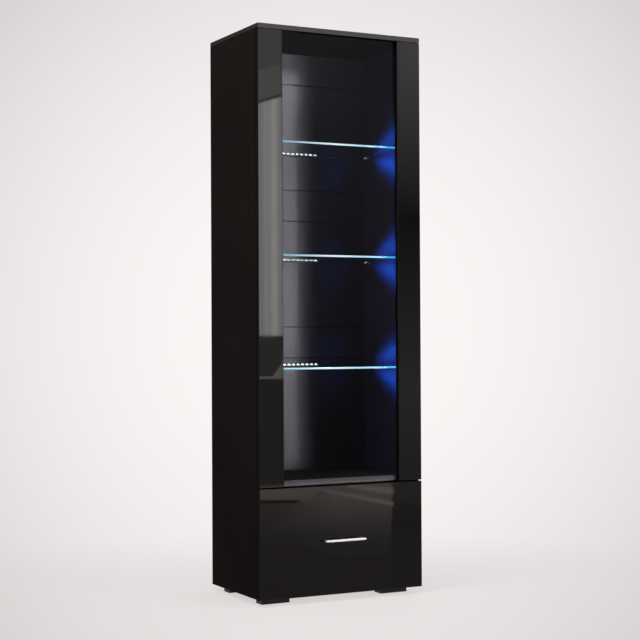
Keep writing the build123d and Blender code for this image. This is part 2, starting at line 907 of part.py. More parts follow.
inner_screw_length = drawer_side_thickness - runner_gauge
inner_screws = {
    side: [drawer_plane(side, y, runner_level) for y in runner_screw_depths]
    for side in (LEFT, RIGHT)
}
middle_web = (runner_middle_stand, runner_middle_stand + runner_gauge)
middle_reach = runner_middle_stand + runner_middle_reach
inner_web = (runner_space - runner_gauge, runner_space)
for side in (LEFT, RIGHT):
    with BuildPart() as runner_outer:
        channel(side, (0, runner_gauge), runner_outer_reach, runner_height / 2)
        bore(runner_screws[side], screw_radius + screw_play, runner_gauge)
    keep(runner_outer, f"runner_outer_{SIDE_NAMES[side]}")

    with BuildPart() as runner_middle:
        channel(side, middle_web, middle_reach, middle_half)
    keep(runner_middle, f"runner_middle_{SIDE_NAMES[side]}")

    with BuildPart() as runner_inner:
        channel(side, inner_web, runner_space - runner_inner_reach, inner_member_half)
        bore(inner_screws[side], screw_radius + screw_play, runner_gauge)
    keep(runner_inner, f"runner_inner_{SIDE_NAMES[side]}")

outer_ball_rise = (runner_middle_stand + runner_outer_reach) / 2
inner_ball_rise = (runner_space - runner_inner_reach + middle_reach) / 2
with BuildPart() as runner_balls:
    for rise, half_height, y_first in (
        (outer_ball_rise, middle_half + runner_race / 2, runner_ball_rear),
        (inner_ball_rise, inner_member_half + runner_race / 2, runner_ball_front),
    ):
        centres = [
            (
                side * (inner_half - rise),
                y_runner + y_first + i * runner_ball_pitch,
                runner_level + edge * half_height,
            )
            for side in (LEFT, RIGHT)
            for edge in (-1, 1)
            for i in range(runner_balls_per_row)
        ]
        with Locations(*centres):
            Sphere(runner_race / 2 - runner_ball_play)
keep(runner_balls, "runner_balls")

# Drawer box
x_drawer_inner = x_drawer - drawer_side_thickness
y_drawer_rear = y_front_rear + drawer_depth
z_groove = drawer_low + drawer_groove_up
z_groove_high = z_groove + drawer_bottom_thickness + 2 * drawer_groove_play
x_groove = x_drawer_inner + drawer_groove_depth
fixing_levels = [drawer_low + share * drawer_height for share in drawer_fixing_shares]
drawer_cams = {
    side: [
        Plane(
            origin=(side * (x_drawer - drawer_side_thickness / 2), y_front_rear, z),
            x_dir=(-side, 0, 0),
            z_dir=(0, 1, 0),
        )
        for z in fixing_levels
    ]
    for side in (LEFT, RIGHT)
}
back_screws = {
    side: [
        Plane(
            origin=(side * x_drawer, y_drawer_rear - drawer_side_thickness / 2, z),
            x_dir=(0, 1, 0),
            z_dir=(side, 0, 0),
        )
        for z in fixing_levels
    ]
    for side in (LEFT, RIGHT)
}
back_screw_length = drawer_side_thickness + bolt_screw_bite
z_handle = (z_body + z_drawer_front) / 2
handle_planes = [
    Plane(origin=(x, y_front_rear, z_handle), x_dir=(1, 0, 0), z_dir=(0, 1, 0))
    for x in (-handle_centres / 2, handle_centres / 2)
]

for side in (LEFT, RIGHT):
    with BuildPart() as drawer_side:
        slab(
            (side * x_drawer_inner, y_front_rear, drawer_low),
            (side * x_drawer, y_drawer_rear, drawer_high),
        )
        slab(
            (side * x_drawer_inner, y_front_rear, z_groove),
            (side * x_groove, y_drawer_rear, z_groove_high),
            Mode.SUBTRACT,
        )
        cut_cam_side(
            drawer_cams[side], drawer_side_thickness, drawer_cam_radius, drawer_cam_height
        )
        bore(back_screws[side], bolt_screw_radius + screw_play, back_screw_length)
        bore(inner_screws[side], screw_radius + screw_play, inner_screw_length)
    keep(drawer_side, f"drawer_side_{SIDE_NAMES[side]}")

with BuildPart() as drawer_back:
    slab(
        (-x_drawer_inner, y_drawer_rear - drawer_side_thickness, z_groove_high),
        (x_drawer_inner, y_drawer_rear, drawer_high),
    )
    bore(back_screws[LEFT] + back_screws[RIGHT], bolt_screw_radius + screw_play, back_screw_length)
keep(drawer_back, "drawer_back")

with BuildPart() as drawer_bottom:
    slab(
        (
            -(x_groove - drawer_bottom_gap),
            y_front_rear - drawer_groove_depth + drawer_bottom_gap,
            z_groove + drawer_groove_play,
        ),
        (
            x_groove - drawer_bottom_gap,
            y_drawer_rear,
            z_groove_high - drawer_groove_play,
        ),
    )
keep(drawer_bottom, "drawer_bottom")

with BuildPart() as drawer_front:
    slab((-half_width, y_front, z_body), (half_width, y_front_rear, z_drawer_front))
    fillet(drawer_front.faces().sort_by(Axis.Y)[0].edges(), front_round)
    slab(
        (-x_groove, y_front_rear - drawer_groove_depth, z_groove),
        (x_groove, y_front_rear, z_groove_high),
        Mode.SUBTRACT,
    )
    cut_bolt_side(drawer_cams[LEFT] + drawer_cams[RIGHT])
    bore(handle_planes, bolt_screw_radius + handle_hole_play, front_thickness)
keep(drawer_front, "drawer_front")

all_drawer_cams = drawer_cams[LEFT] + drawer_cams[RIGHT]
with BuildPart() as drawer_cam_bolts:
    with Locations(*all_drawer_cams):
        Cylinder(
            bolt_thread_radius, bolt_thread_length, align=(Align.CENTER, Align.CENTER, Align.MAX)
        )
    bar(all_drawer_cams, bolt_radius, cam_setback + bolt_overrun)
keep(drawer_cam_bolts, "drawer_cam_bolts")

with BuildPart() as drawer_cam_locks:
    with Locations(*[cam_face(f, drawer_side_thickness, cam_setback) for f in all_drawer_cams]):
        Cylinder(
            drawer_cam_radius, drawer_cam_height, align=(Align.CENTER, Align.CENTER, Align.MAX)
        )
    bar(
        all_drawer_cams, bolt_radius + bolt_bore_play, cam_setback + 2 * bolt_overrun, Mode.SUBTRACT
    )
keep(drawer_cam_locks, "drawer_cam_locks")

with BuildPart() as drawer_screws:
    screws(
        back_screws[LEFT] + back_screws[RIGHT],
        bolt_screw_radius,
        back_screw_length,
        bolt_screw_head_radius,
        bolt_screw_head_height,
    )
    screws(
        inner_screws[LEFT] + inner_screws[RIGHT],
        screw_radius,
        inner_screw_length,
        screw_head_radius,
        screw_head_height,
    )
keep(drawer_screws, "drawer_screws")

# Handle: a bar with tapered tips on two posts, held by screws from inside the front
y_handle = y_front - handle_projection
y_handle_rear = y_handle + handle_thickness
post_planes = [
    Plane(origin=(plane.origin.X, y_front, z_handle), x_dir=(1, 0, 0), z_dir=(0, -1, 0))
    for plane in handle_planes
]
with BuildPart() as handle:
    with BuildSketch(Plane((0, y_handle_rear, z_handle), x_dir=(1, 0, 0), z_dir=(0, -1, 0))):
        with BuildLine() as outline:
            Polyline(
                (-handle_length / 2, -handle_tip_height / 2),
                (-handle_centres / 2, -handle_height / 2),
                (handle_centres / 2, -handle_height / 2),
                (handle_length / 2, -handle_tip_height / 2),
                (handle_length / 2, handle_tip_height / 2),
                (handle_centres / 2, handle_height / 2),
                (-handle_centres / 2, handle_height / 2),
                (-handle_length / 2, handle_tip_height / 2),
                close=True,
            )
        make_face()
    extrude(amount=handle_thickness)
    fillet(handle.faces().sort_by(Axis.Y)[0].edges(), handle_round)
    bar(post_planes, handle_post_radius, handle_projection - handle_thickness)
    bar(post_planes, bolt_screw_radius + screw_play, handle_thread_depth, Mode.SUBTRACT)
keep(handle, "handle")

with BuildPart() as handle_screws:
    screws(
        handle_planes,
        bolt_screw_radius,
        front_thickness + handle_thread_depth - handle_thread_end,
        bolt_screw_head_radius,
        bolt_screw_head_height,
    )
keep(handle_screws, "handle_screws")
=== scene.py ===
"""Looks of a tall black display cabinet: one glass door, three lit glass shelves, one drawer.

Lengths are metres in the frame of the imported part: X to the right, Y to the rear, Z up.
"""

import logging
import math
from dataclasses import dataclass, field
from enum import Enum
from typing import Any

import bmesh
import bpy
from mathutils import Matrix, Vector


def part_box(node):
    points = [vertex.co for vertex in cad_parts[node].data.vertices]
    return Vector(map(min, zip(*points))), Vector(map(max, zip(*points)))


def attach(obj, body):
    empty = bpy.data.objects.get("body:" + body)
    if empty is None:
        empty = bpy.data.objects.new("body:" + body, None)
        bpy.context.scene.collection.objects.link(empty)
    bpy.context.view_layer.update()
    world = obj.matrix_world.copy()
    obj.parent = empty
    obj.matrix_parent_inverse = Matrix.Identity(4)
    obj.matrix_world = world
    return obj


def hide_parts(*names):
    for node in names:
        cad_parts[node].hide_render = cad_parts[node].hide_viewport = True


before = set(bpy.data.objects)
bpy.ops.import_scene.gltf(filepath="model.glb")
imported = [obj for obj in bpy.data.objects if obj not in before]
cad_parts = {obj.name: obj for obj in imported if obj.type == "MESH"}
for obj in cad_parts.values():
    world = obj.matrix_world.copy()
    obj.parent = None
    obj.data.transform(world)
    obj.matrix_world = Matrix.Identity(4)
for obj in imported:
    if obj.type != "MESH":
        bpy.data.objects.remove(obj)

LOG = logging.getLogger("display_cabinet")
MM = 0.001
# Points nearer than this are one point, and measures that agree to these decimals are the same.
MERGE = 1e-6
DECIMALS = 5
# Most of a noise pattern's values lie in this span.
NOISE = (0.3, 0.7)
SHELVES = ("lower", "middle", "upper")
BACK_PANELS = ("upper", "middle", "lower", "drawer")

Tree = bpy.types.NodeTree
Socket = bpy.types.NodeSocket
Outputs = bpy.types.NodeOutputs
Material = bpy.types.Material
Piece = bpy.types.Object
Span = tuple[float, float]
Point = tuple[float, float, float]


class Body(Enum):
    """The bodies that pieces ride on."""

    CARCASS = "carcass"
    DOOR = "door"
    DRAWER = "drawer"


class Slot(Enum):
    """The material slots of the new pieces."""

    LENS = "lamp_lens"
    ZINC = "zinc_steel"
    PLASTIC = "black_plastic"


class Axis(Enum):
    """The three directions of the frame, by the number that a vector uses."""

    X = 0
    Y = 1
    Z = 2


def linear(code: str) -> tuple[float, float, float, float]:
    """Turn an sRGB hex colour into the linear colour that Blender's sockets take.

    Args:
        code: A hash sign and six hex digits.

    Returns:
        Red, green, blue and an alpha of 1.
    """
    shares = [int(code[i : i + 2], 16) / 255 for i in (1, 3, 5)]
    red, green, blue = (s / 12.92 if s <= 0.04045 else ((s + 0.055) / 1.055) ** 2.4 for s in shares)
    return red, green, blue, 1.0


def between(first: str, last: str) -> dict[int, tuple[float, float, float, float]]:
    """Two sRGB hex colours as both ends of a colour mix."""
    return {6: linear(first), 7: linear(last)}


def spans(source: Span, target: Span = (0.0, 1.0)) -> dict[str, float]:
    """Two spans as the limits of a range that maps the first to the second."""
    return dict(zip(("From Min", "From Max", "To Min", "To Max"), source + target))


def add(
    tree: Tree, kind: str, inputs: dict[str | int, Any] | None = None, **settings: Any
) -> Outputs:
    """Add a node to a tree, with its settings, its values and its links.

    Args:
        tree: The shader, world or Geometry Nodes tree that takes the node.
        kind: Blender's name for the node.
        inputs: A value, or a socket or list of sockets to link from, for each input by name
            or number.
        **settings: The node's own options.

    Returns:
        The new node's outputs.
    """
    node = tree.nodes.new(kind)
    for key, value in settings.items():
        setattr(node, key, value)
    for key, value in (inputs or {}).items():
        for source in value if isinstance(value, list) else [value]:
            if isinstance(source, Socket):
                tree.links.new(source, node.inputs[key])
            else:
                node.inputs[key].default_value = source
    return node.outputs


def to_the_eye(tree: Tree) -> Socket:
    """Tell rays that carry a picture to the eye from rays that carry light to the object.

    Args:
        tree: The world's or a stage sheet's tree.

    Returns:
        A socket that is 1 for a ray seen directly, in a mirror or through glass, and else 0.
    """
    rays = add(tree, "ShaderNodeLightPath")
    seen = rays["Is Camera Ray"]
    for kind in ("Is Glossy Ray", "Is Transmission Ray"):
        seen = add(tree, "ShaderNodeMath", {0: seen, 1: rays[kind]}, operation="MAXIMUM")[0]
    plain = add(
        tree, "ShaderNodeMath", {0: rays["Diffuse Depth"], 1: 0.5}, operation="LESS_THAN"
    )[0]
    return add(tree, "ShaderNodeMath", {0: seen, 1: plain}, operation="MULTIPLY")[0]


@dataclass(frozen=True)
class Finish:
    """A surface finish that is painted once as a Blender material."""

    name: str

    def material(self) -> Material:
        """The finish's material, painted at its first use."""
        return bpy.data.materials.get(self.name) or self.paint()

    def paint(self) -> Material:
        """Make the material; each finish has its own way."""
        raise NotImplementedError

    def blank(self) -> tuple[Material, Tree, Socket]:
        """Start a material under the finish's name.

        Returns:
            The material, its empty tree, and a socket for the place of a point on the piece.
        """
        made = bpy.data.materials.new(self.name)
        made.use_nodes = True
        tree = made.node_tree
        tree.nodes.clear()
        return made, tree, add(tree, "ShaderNodeTexCoord")["Object"]

    def coated(self, made: Material, inputs: dict[str, Any]) -> Material:
        """End a material in one principled shader.

        Args:
            made: The material whose tree holds the patterns.
            inputs: Values and sockets for the shader's inputs.

        Returns:
            The same material.
        """
        shader = add(made.node_tree, "ShaderNodeBsdfPrincipled", inputs)[0]
        add(made.node_tree, "ShaderNodeOutputMaterial", {"Surface": shader})
        return made


@dataclass(frozen=True)
class BoardFinish(Finish):
    """Paper-faced board: an even dark face with pressed pores and a slow drift of tone.

    Its front edge may have a lighter band, partly edge banding and partly painted light from
    the front; its ends may be a lighter grey over a dark line at their foot; and its edges may lie
    in the shade of a joint.
    """

    dark: str
    light: str
    pore: float = 5 * MM
    drift: float = 0.4
    rough: Span = (0.5, 0.62)
    relief: float = 0.06 * MM
    sheen: float = 0.005
    band: str | None = None
    band_y: float = 0.0
    end: str | None = None
    end_x: float = 0.0
    seam: str = "#030303"
    seam_z: float = 0.0
    joint: Span | None = None
    joint_shade: str = "#080808"

    def paint(self) -> Material:
        """Mottle the face, press the pores, band the edges and darken what lies in a joint.

        Returns:
            The material.
        """
        made, tree, place = self.blank()
        pores = add(
            tree,
            "ShaderNodeTexNoise",
            {"Vector": place, "Scale": 1 / self.pore, "Detail": 3.0, "Roughness": 0.6},
        )[0]
        clouds = add(
            tree, "ShaderNodeTexNoise", {"Vector": place, "Scale": 1 / self.drift, "Detail": 2.0}
        )[0]
        both = add(tree, "ShaderNodeMath", {0: pores, 1: clouds}, operation="ADD")[0]
        share = add(tree, "ShaderNodeMapRange", {"Value": both, **spans((0.7, 1.3))})[0]
        tone = add(
            tree, "ShaderNodeMix", {0: share, **between(self.dark, self.light)}, data_type="RGBA"
        )[2]
        across, depth, rise = add(tree, "ShaderNodeSeparateXYZ", {0: place})
        sheen = self.sheen
        if self.end:
            off = add(tree, "ShaderNodeMath", {0: across}, operation="ABSOLUTE")[0]
            ends = add(tree, "ShaderNodeMath", {0: off, 1: self.end_x}, operation="GREATER_THAN")[0]
            seam = add(tree, "ShaderNodeMath", {0: rise, 1: self.seam_z}, operation="LESS_THAN")[0]
            edging = add(
                tree, "ShaderNodeMix", {0: seam, **between(self.end, self.seam)}, data_type="RGBA"
            )[2]
            tone = add(tree, "ShaderNodeMix", {0: ends, 6: tone, 7: edging}, data_type="RGBA")[2]
        if self.joint:
            middle, half = sum(self.joint) / 2, (self.joint[1] - self.joint[0]) / 2
            inside = add(
                tree, "ShaderNodeMath", {0: depth, 1: middle, 2: half}, operation="COMPARE"
            )[0]
            shade = linear(self.joint_shade)
            tone = add(tree, "ShaderNodeMix", {0: inside, 6: tone, 7: shade}, data_type="RGBA")[2]
            sheen = add(tree, "ShaderNodeMix", {0: inside, 2: self.sheen, 3: 0.0})[0]
        # Painted light: the front band is lighter, partly as edge banding and partly as light falling
        # on the front edge.
        if self.band:
            front = add(
                tree, "ShaderNodeMath", {0: depth, 1: self.band_y}, operation="LESS_THAN"
            )[0]
            tone = add(
                tree, "ShaderNodeMix", {0: front, 6: tone, 7: linear(self.band)}, data_type="RGBA"
            )[2]
        rough = add(tree, "ShaderNodeMapRange", {"Value": pores, **spans(NOISE, self.rough)})[0]
        bumps = add(
            tree, "ShaderNodeBump", {"Height": pores, "Strength": 0.6, "Distance": self.relief}
        )[0]
        return self.coated(
            made,
            {"Base Color": tone, "Roughness": rough, "Normal": bumps, "Specular IOR Level": sheen},
        )


@dataclass(frozen=True)
class GlossFinish(Finish):
    """High-gloss foil on a board's front: a black mirror with a slow ripple, and matte edges."""

    dark: str
    light: str
    ripple: float
    smear: float
    foil_y: float
    polish: Span = (0.02, 0.05)
    shine: float = 0.5
    edge_rough: float = 0.6
    edge_shine: float = 0.02

    def paint(self) -> Material:
        """Ripple and smear the foil, and leave the banded edges and the rear face matte.

        Returns:
            The material.
        """
        made, tree, place = self.blank()
        waves = add(
            tree, "ShaderNodeTexNoise", {"Vector": place, "Scale": 1 / self.ripple, "Detail": 1.0}
        )[0]
        smears = add(
            tree, "ShaderNodeTexNoise", {"Vector": place, "Scale": 1 / self.smear, "Detail": 4.0}
        )[0]
        tone = add(
            tree, "ShaderNodeMix", {0: smears, **between(self.dark, self.light)}, data_type="RGBA"
        )[2]
        polish = add(tree, "ShaderNodeMapRange", {"Value": smears, **spans(NOISE, self.polish)})[0]
        depth = add(tree, "ShaderNodeSeparateXYZ", {0: place})[1]
        edge = add(tree, "ShaderNodeMath", {0: depth, 1: self.foil_y}, operation="GREATER_THAN")[0]
        rough = add(tree, "ShaderNodeMix", {0: edge, 2: polish, 3: self.edge_rough})[0]
        shine = add(tree, "ShaderNodeMix", {0: edge, 2: self.shine, 3: self.edge_shine})[0]
        bumps = add(
            tree, "ShaderNodeBump", {"Height": waves, "Strength": 0.04, "Distance": 0.1 * MM}
        )[0]
        return self.coated(
            made,
            {"Base Color": tone, "Roughness": rough, "Normal": bumps, "Specular IOR Level": shine},
        )


@dataclass(frozen=True)
class PlatedFinish(Finish):
    """Plated or anodised metal: fine drawn lines along one axis and a clouded shine."""

    dark: str
    light: str
    rough: Span
    line: float = 0.6 * MM
    along: Axis = Axis.Y
    metallic: float = 1.0
    stretch: float = 40

    def paint(self) -> Material:
        """Draw the lines, long on one axis, and let them vary tone and shine.

        Returns:
            The material.
        """
        made, tree, place = self.blank()
        scale = [1 / self.line] * 3
        scale[self.along.value] /= self.stretch
        drawn = add(tree, "ShaderNodeMapping", {"Vector": place, "Scale": tuple(scale)})[0]
        lines = add(tree, "ShaderNodeTexNoise", {"Vector": drawn, "Scale": 1.0, "Detail": 3.0})[0]
        tone = add(
            tree, "ShaderNodeMix", {0: lines, **between(self.dark, self.light)}, data_type="RGBA"
        )[2]
        rough = add(tree, "ShaderNodeMapRange", {"Value": lines, **spans(NOISE, self.rough)})[0]
        bumps = add(
            tree, "ShaderNodeBump", {"Height": lines, "Strength": 0.2, "Distance": 0.05 * MM}
        )[0]
        return self.coated(
            made,
            {"Base Color": tone, "Roughness": rough, "Normal": bumps, "Metallic": self.metallic},
        )


@dataclass(frozen=True)
class MouldedFinish(Finish):
    """Moulded plastic or rubber: one colour with the fine spark grain of the mould."""

    dark: str
    light: str
    grain: float
    rough: Span
    shine: float = 0.35

    def paint(self) -> Material:
        """Cover the piece with small rounded cells of grain, and with clouds ten cells wide.

        Returns:
            The material.
        """
        made, tree, place = self.blank()
        cells = add(tree, "ShaderNodeTexVoronoi", {"Vector": place, "Scale": 1 / self.grain})[0]
        clouds = add(tree, "ShaderNodeTexNoise", {"Vector": place, "Scale": 0.1 / self.grain})[0]
        tone = add(
            tree, "ShaderNodeMix", {0: clouds, **between(self.dark, self.light)}, data_type="RGBA"
        )[2]
        rough = add(
            tree, "ShaderNodeMapRange", {"Value": cells, **spans((0.0, 1.0), self.rough)}
        )[0]
        bumps = add(
            tree, "ShaderNodeBump", {"Height": cells, "Strength": 0.35, "Distance": 0.15 * MM}
        )[0]
        inputs = {"Base Color": tone, "Roughness": rough, "Normal": bumps}
        return self.coated(made, {**inputs, "Specular IOR Level": self.shine})


@dataclass(frozen=True)
class BeechFinish(Finish):
    """Bare turned beech: pale brown with short darker flecks along the grain."""

    dark: str
    light: str
    fleck: float
    stretch: float = 0.15

    def paint(self) -> Material:
        """Stretch a fleck pattern along X, the way most of the dowels lie.

        Returns:
            The material.
        """
        made, tree, place = self.blank()
        scale = (self.stretch / self.fleck, 1 / self.fleck, 1 / self.fleck)
        drawn = add(tree, "ShaderNodeMapping", {"Vector": place, "Scale": scale})[0]
        flecks = add(tree, "ShaderNodeTexNoise", {"Vector": drawn, "Scale": 1.0, "Detail": 4.0})[0]
        tone = add(
            tree, "ShaderNodeMix", {0: flecks, **between(self.dark, self.light)}, data_type="RGBA"
        )[2]
        bumps = add(
            tree, "ShaderNodeBump", {"Height": flecks, "Strength": 0.3, "Distance": 0.1 * MM}
        )[0]
        return self.coated(made, {"Base Color": tone, "Roughness": 0.6, "Normal": bumps})


@dataclass(frozen=True)
class GlassFinish(Finish):
    """Clear float glass: colourless through its face, green in its cut edges."""

    clear: str
    edge: str
    across: Axis
    middle: float
    half: float
    wipe: float = 0.02
    mark: float = 90 * MM
    cut: float = 0.7 * MM
    ior: float = 1.45

    def paint(self) -> Material:
        """Tint the two cut edges and leave faint wiping marks on the faces.

        Returns:
            The material.
        """
        made, tree, place = self.blank()
        along = add(tree, "ShaderNodeSeparateXYZ", {0: place})[self.across.value]
        off = add(tree, "ShaderNodeMath", {0: along, 1: self.middle}, operation="SUBTRACT")[0]
        away = add(tree, "ShaderNodeMath", {0: off}, operation="ABSOLUTE")[0]
        edge = add(
            tree, "ShaderNodeMath", {0: away, 1: self.half - self.cut}, operation="GREATER_THAN"
        )[0]
        tone = add(
            tree, "ShaderNodeMix", {0: edge, **between(self.clear, self.edge)}, data_type="RGBA"
        )[2]
        marks = add(
            tree, "ShaderNodeTexNoise", {"Vector": place, "Scale": 1 / self.mark, "Detail": 2.0}
        )[0]
        rough = add(
            tree, "ShaderNodeMapRange", {"Value": marks, **spans((0.5, 0.9), (0.0, self.wipe))}
        )[0]
        inputs = {"Base Color": tone, "Roughness": rough, "IOR": self.ior}
        inputs.update({"Transmission Weight": 1.0, **self.glow(tree, place)})
        return self.coated(made, inputs)

    def glow(self, tree: Tree, place: Socket) -> dict[str, Any]:
        """Plain glass gives no light of its own."""
        return {}


@dataclass(frozen=True)
class LitGlassFinish(GlassFinish):
    """Shelf glass fed by a lamp bar: its front edge shines from blue through white to blue."""

    left: str = "#3f8bae"
    centre: str = "#eefdff"
    right: str = "#3fbcf3"
    strength: float = 1.0
    reach: float = 0.2

    def glow(self, tree: Tree, place: Socket) -> dict[str, Any]:
        """Light the front edge.

        Args:
            tree: The material's tree.
            place: Object coordinates.

        Returns:
            The shader's emission inputs.
        """
        across, depth, _ = add(tree, "ShaderNodeSeparateXYZ", {0: place})
        rise = add(tree, "ShaderNodeMapRange", {"Value": across, **spans((-self.reach, 0.0))})[0]
        fall = add(tree, "ShaderNodeMapRange", {"Value": across, **spans((0.0, self.reach))})[0]
        first = add(
            tree, "ShaderNodeMix", {0: rise, **between(self.left, self.centre)}, data_type="RGBA"
        )[2]
        tone = add(
            tree, "ShaderNodeMix", {0: fall, 6: first, 7: linear(self.right)}, data_type="RGBA"
        )[2]
        edge_y = self.middle - self.half + self.cut
        front = add(tree, "ShaderNodeMath", {0: depth, 1: edge_y}, operation="LESS_THAN")[0]
        shown = add(
            tree, "ShaderNodeMix", {0: front, 6: linear("#000000"), 7: tone}, data_type="RGBA"
        )[2]
        return {"Emission Color": shown, "Emission Strength": self.strength}


@dataclass(frozen=True)
class LensFinish(Finish):
    """Moulded lens over a white diode: white-hot at its foot, cooler at its crown."""

    hot: str
    cool: str
    strength: float
    levels: Span
    through: Span

    def paint(self) -> Material:
        """Run the light from foot to crown by the height that the lens carries.

        Lenses above the eye are seen only through the glass of their shelf, which keeps back
        more of their light the nearer they are to the eye's height, so they shine harder.

        Returns:
            The material.
        """
        made, tree, place = self.blank()
        height = add(tree, "ShaderNodeAttribute", attribute_name="height")["Fac"]
        tone = add(
            tree, "ShaderNodeMix", {0: height, **between(self.hot, self.cool)}, data_type="RGBA"
        )[2]
        level = add(tree, "ShaderNodeSeparateXYZ", {0: place})[2]
        above = add(
            tree, "ShaderNodeMath", {0: level, 1: self.levels[0]}, operation="GREATER_THAN"
        )[0]
        harder = add(
            tree, "ShaderNodeMapRange", {"Value": level, **spans(self.levels, self.through)}
        )[0]
        power = add(tree, "ShaderNodeMix", {0: above, 2: self.strength, 3: harder})[0]
        inputs = {"Base Color": tone, "Roughness": 0.25}
        return self.coated(made, {**inputs, "Emission Color": tone, "Emission Strength": power})


# Melamine paper on chipboard, pressed matte: black with fine pores. The real pores are
# about 0.3 mm, drawn at 5 mm so that they show.
SIDE_BOARD = BoardFinish("melamine_board_matte_black", "#141110", "#1c1918")
# The same board, its front edge a greyer band: partly greyer plastic edging, partly painted light that
# falls on the front edge.
TOP_BOARD = BoardFinish(
    "melamine_board_front_band_painted_light",
    "#141110",
    "#1c1918",
    band="#474547",
    band_y=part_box("top_panel")[0].y + 1.0 * MM,
    end="#2e2b2c",
    end_x=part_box("top_panel")[1].x - 0.2 * MM,
    seam_z=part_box("top_panel")[0].z + 1.5 * MM,
)
# The level boards in the same paper with painted light: a little lighter all over, and a paler front
# band that is partly edge banding and partly painted light on the front edge.
LEVEL_BOARD = BoardFinish(
    "melamine_board_lighter_band_painted_light",
    "#1f1c1b",
    "#292625",
    band="#565056",
    band_y=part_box("divider_panel")[0].y + 1.0 * MM,
)
# Lacquered thin fibreboard: a satin, faintly violet black that mirrors a blurred light. The
# lacquer's orange peel is about 2 mm across, drawn at 9 mm so that it shows.
BACK_BOARD = BoardFinish(
    "lacquered_fibreboard_satin",
    "#2a282e",
    "#312f35",
    pore=9 * MM,
    drift=0.5,
    rough=(0.18, 0.22),
    relief=0.02 * MM,
    sheen=0.5,
    joint=(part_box("back_panel_upper")[0].y + 0.2 * MM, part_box("back_panel_upper")[1].y - 0.2 * MM),
)
# Dark grey paper-faced board of the drawer box, with pores as on the other boards.
DRAWER_BOARD = BoardFinish("melamine_board_dark_grey", "#2b2a2a", "#343332", drift=0.3, sheen=0.2)
# High-gloss foil: black, mirror-like, with the slow ripple of pressed foil.
DOOR_FOIL = GlossFinish(
    "gloss_foil_black",
    "#080707",
    "#0b0a0a",
    ripple=14 * MM,
    smear=160 * MM,
    foil_y=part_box("drawer_front")[0].y + 0.15 * MM,
)
# Zinc-plated steel of runners, hinges, bolts and screws: cool grey, softly clouded. Its drawn
# lines, as those of the metals below, are finer than 0.1 mm and are drawn at 0.5 or 0.6 mm.
ZINC = PlatedFinish("zinc_plated_steel", "#8f9296", "#b4b7ba", (0.28, 0.42))
# Black-passivated zinc of the cam locks, which hardly show on the boards.
BLACK_ZINC = PlatedFinish("zinc_passivated_black", "#141415", "#1e1e20", (0.4, 0.55), metallic=0.7)
# Nickel-plated steel of pins: warmer and brighter.
NICKEL = PlatedFinish("nickel_plated_steel", "#b3afa8", "#d2cec6", (0.16, 0.26), along=Axis.X)
# Satin chrome of the drawer handle: bright, with short drawn lines along the bar.
SATIN_CHROME = PlatedFinish("satin_chrome", "#ececec", "#f8f8f8", (0.28, 0.32), 0.5 * MM, Axis.X)
# Black anodised aluminium of the lamp bars: a dull black that catches little light.
ANODISED = PlatedFinish(
    "anodised_aluminium_black", "#0e0e10", "#18181b", (0.35, 0.5), 0.5 * MM, Axis.X, 0.6
)
# ABS mouldings: feet, inlet and latch are black, the plunger grey. The spark grain that dulls
# them is about 0.2 mm, drawn at 1.5 mm so that it shows.
BLACK_ABS = MouldedFinish("abs_moulded_black", "#0f0e0e", "#161515", 1.5 * MM, (0.42, 0.6))
GREY_ABS = MouldedFinish("abs_moulded_grey", "#8c8c8c", "#a0a0a0", 1.5 * MM, (0.38, 0.55))
# Soft PVC sheath of the low-voltage leads: dull black. Its grain is drawn as coarse as 1 mm.
SHEATH = MouldedFinish("pvc_sheath_black", "#121212", "#1a1a1a", 1.0 * MM, (0.45, 0.6))
# Soft rubber of the door bumpers: dark grey with no shine. Its grain is drawn as coarse as 1 mm.
RUBBER = MouldedFinish("rubber_dark_grey", "#3a3a3a", "#484848", 1.0 * MM, (0.7, 0.85))
# Beech of the dowels: pale brown, finely flecked. Real flecks are about 0.8 mm wide.
BEECH = BeechFinish("beech_bare", "#a97f54", "#cda679", 0.8 * MM)
# Cloth tape over the joints of the back: flat black. Its weave of about 0.5 mm is drawn at 1 mm.
TAPE = MouldedFinish("cloth_tape_black", "#0b0b0b", "#131313", 1.0 * MM, (0.7, 0.85))
# Clear lens over a white diode: so bright that the eye sees a white point with a bluish crown.
LENS = LensFinish("lens_plastic_lit", "#ffffff", "#e4f0ff", 1.15, (1.12, 1.49), (45.0, 5.0))


class SubAssembly:
    """What every sub-assembly shares: dressing CAD nodes and joining new pieces to bodies."""

    def dress(self, finish: Finish, *nodes: str) -> None:
        """Give CAD nodes one finish.

        Args:
            finish: The finish that they take.
            *nodes: The names of the nodes.
        """
        for node in nodes:
            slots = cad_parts[node].data.materials
            slots.clear()
            slots.append(finish.material())
            LOG.info("%s dressed in %s", node, finish.name)

    def join(self, piece: Piece, body: Body, slot: Slot, node: str | None = None) -> None:
        """Let a new piece ride on a body, and stand for a CAD node if there is one.

        Args:
            piece: The finished piece.
            body: The body that it rides on.
            slot: The slot of its finish; not used.
            node: The node that it stands for.
        """
        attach(piece, body.value)
        if node:
            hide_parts(node)
        LOG.info("%s rides on %s and stands for %s", piece.name, body.value, node)


@dataclass(frozen=True)
class Seat:
    """Where a small repeated piece sits, and the way that it points."""

    place: Vector
    axis: Vector


def solids(node: str) -> list[list[Vector]]:
    """Split a CAD node into its separate solids.

    Args:
        node: The node's name.

    Returns:
        The corner points of each solid.
    """
    shape = bmesh.new()
    shape.from_mesh(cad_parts[node].data)
    bmesh.ops.remove_doubles(shape, verts=shape.verts[:], dist=MERGE)
    seen: set[int] = set()
    found: list[list[Vector]] = []
    shape.verts.ensure_lookup_table()
    shape.verts.index_update()
    for start in shape.verts:
        if start.index in seen:
            continue
        seen.add(start.index)
        queue, points = [start], []
        while queue:
            corner = queue.pop()
            points.append(corner.co.copy())
            for edge in corner.link_edges:
                other = edge.other_vert(corner)
                if other.index not in seen:
                    seen.add(other.index)
                    queue.append(other)
        found.append(points)
    shape.free()
    return found


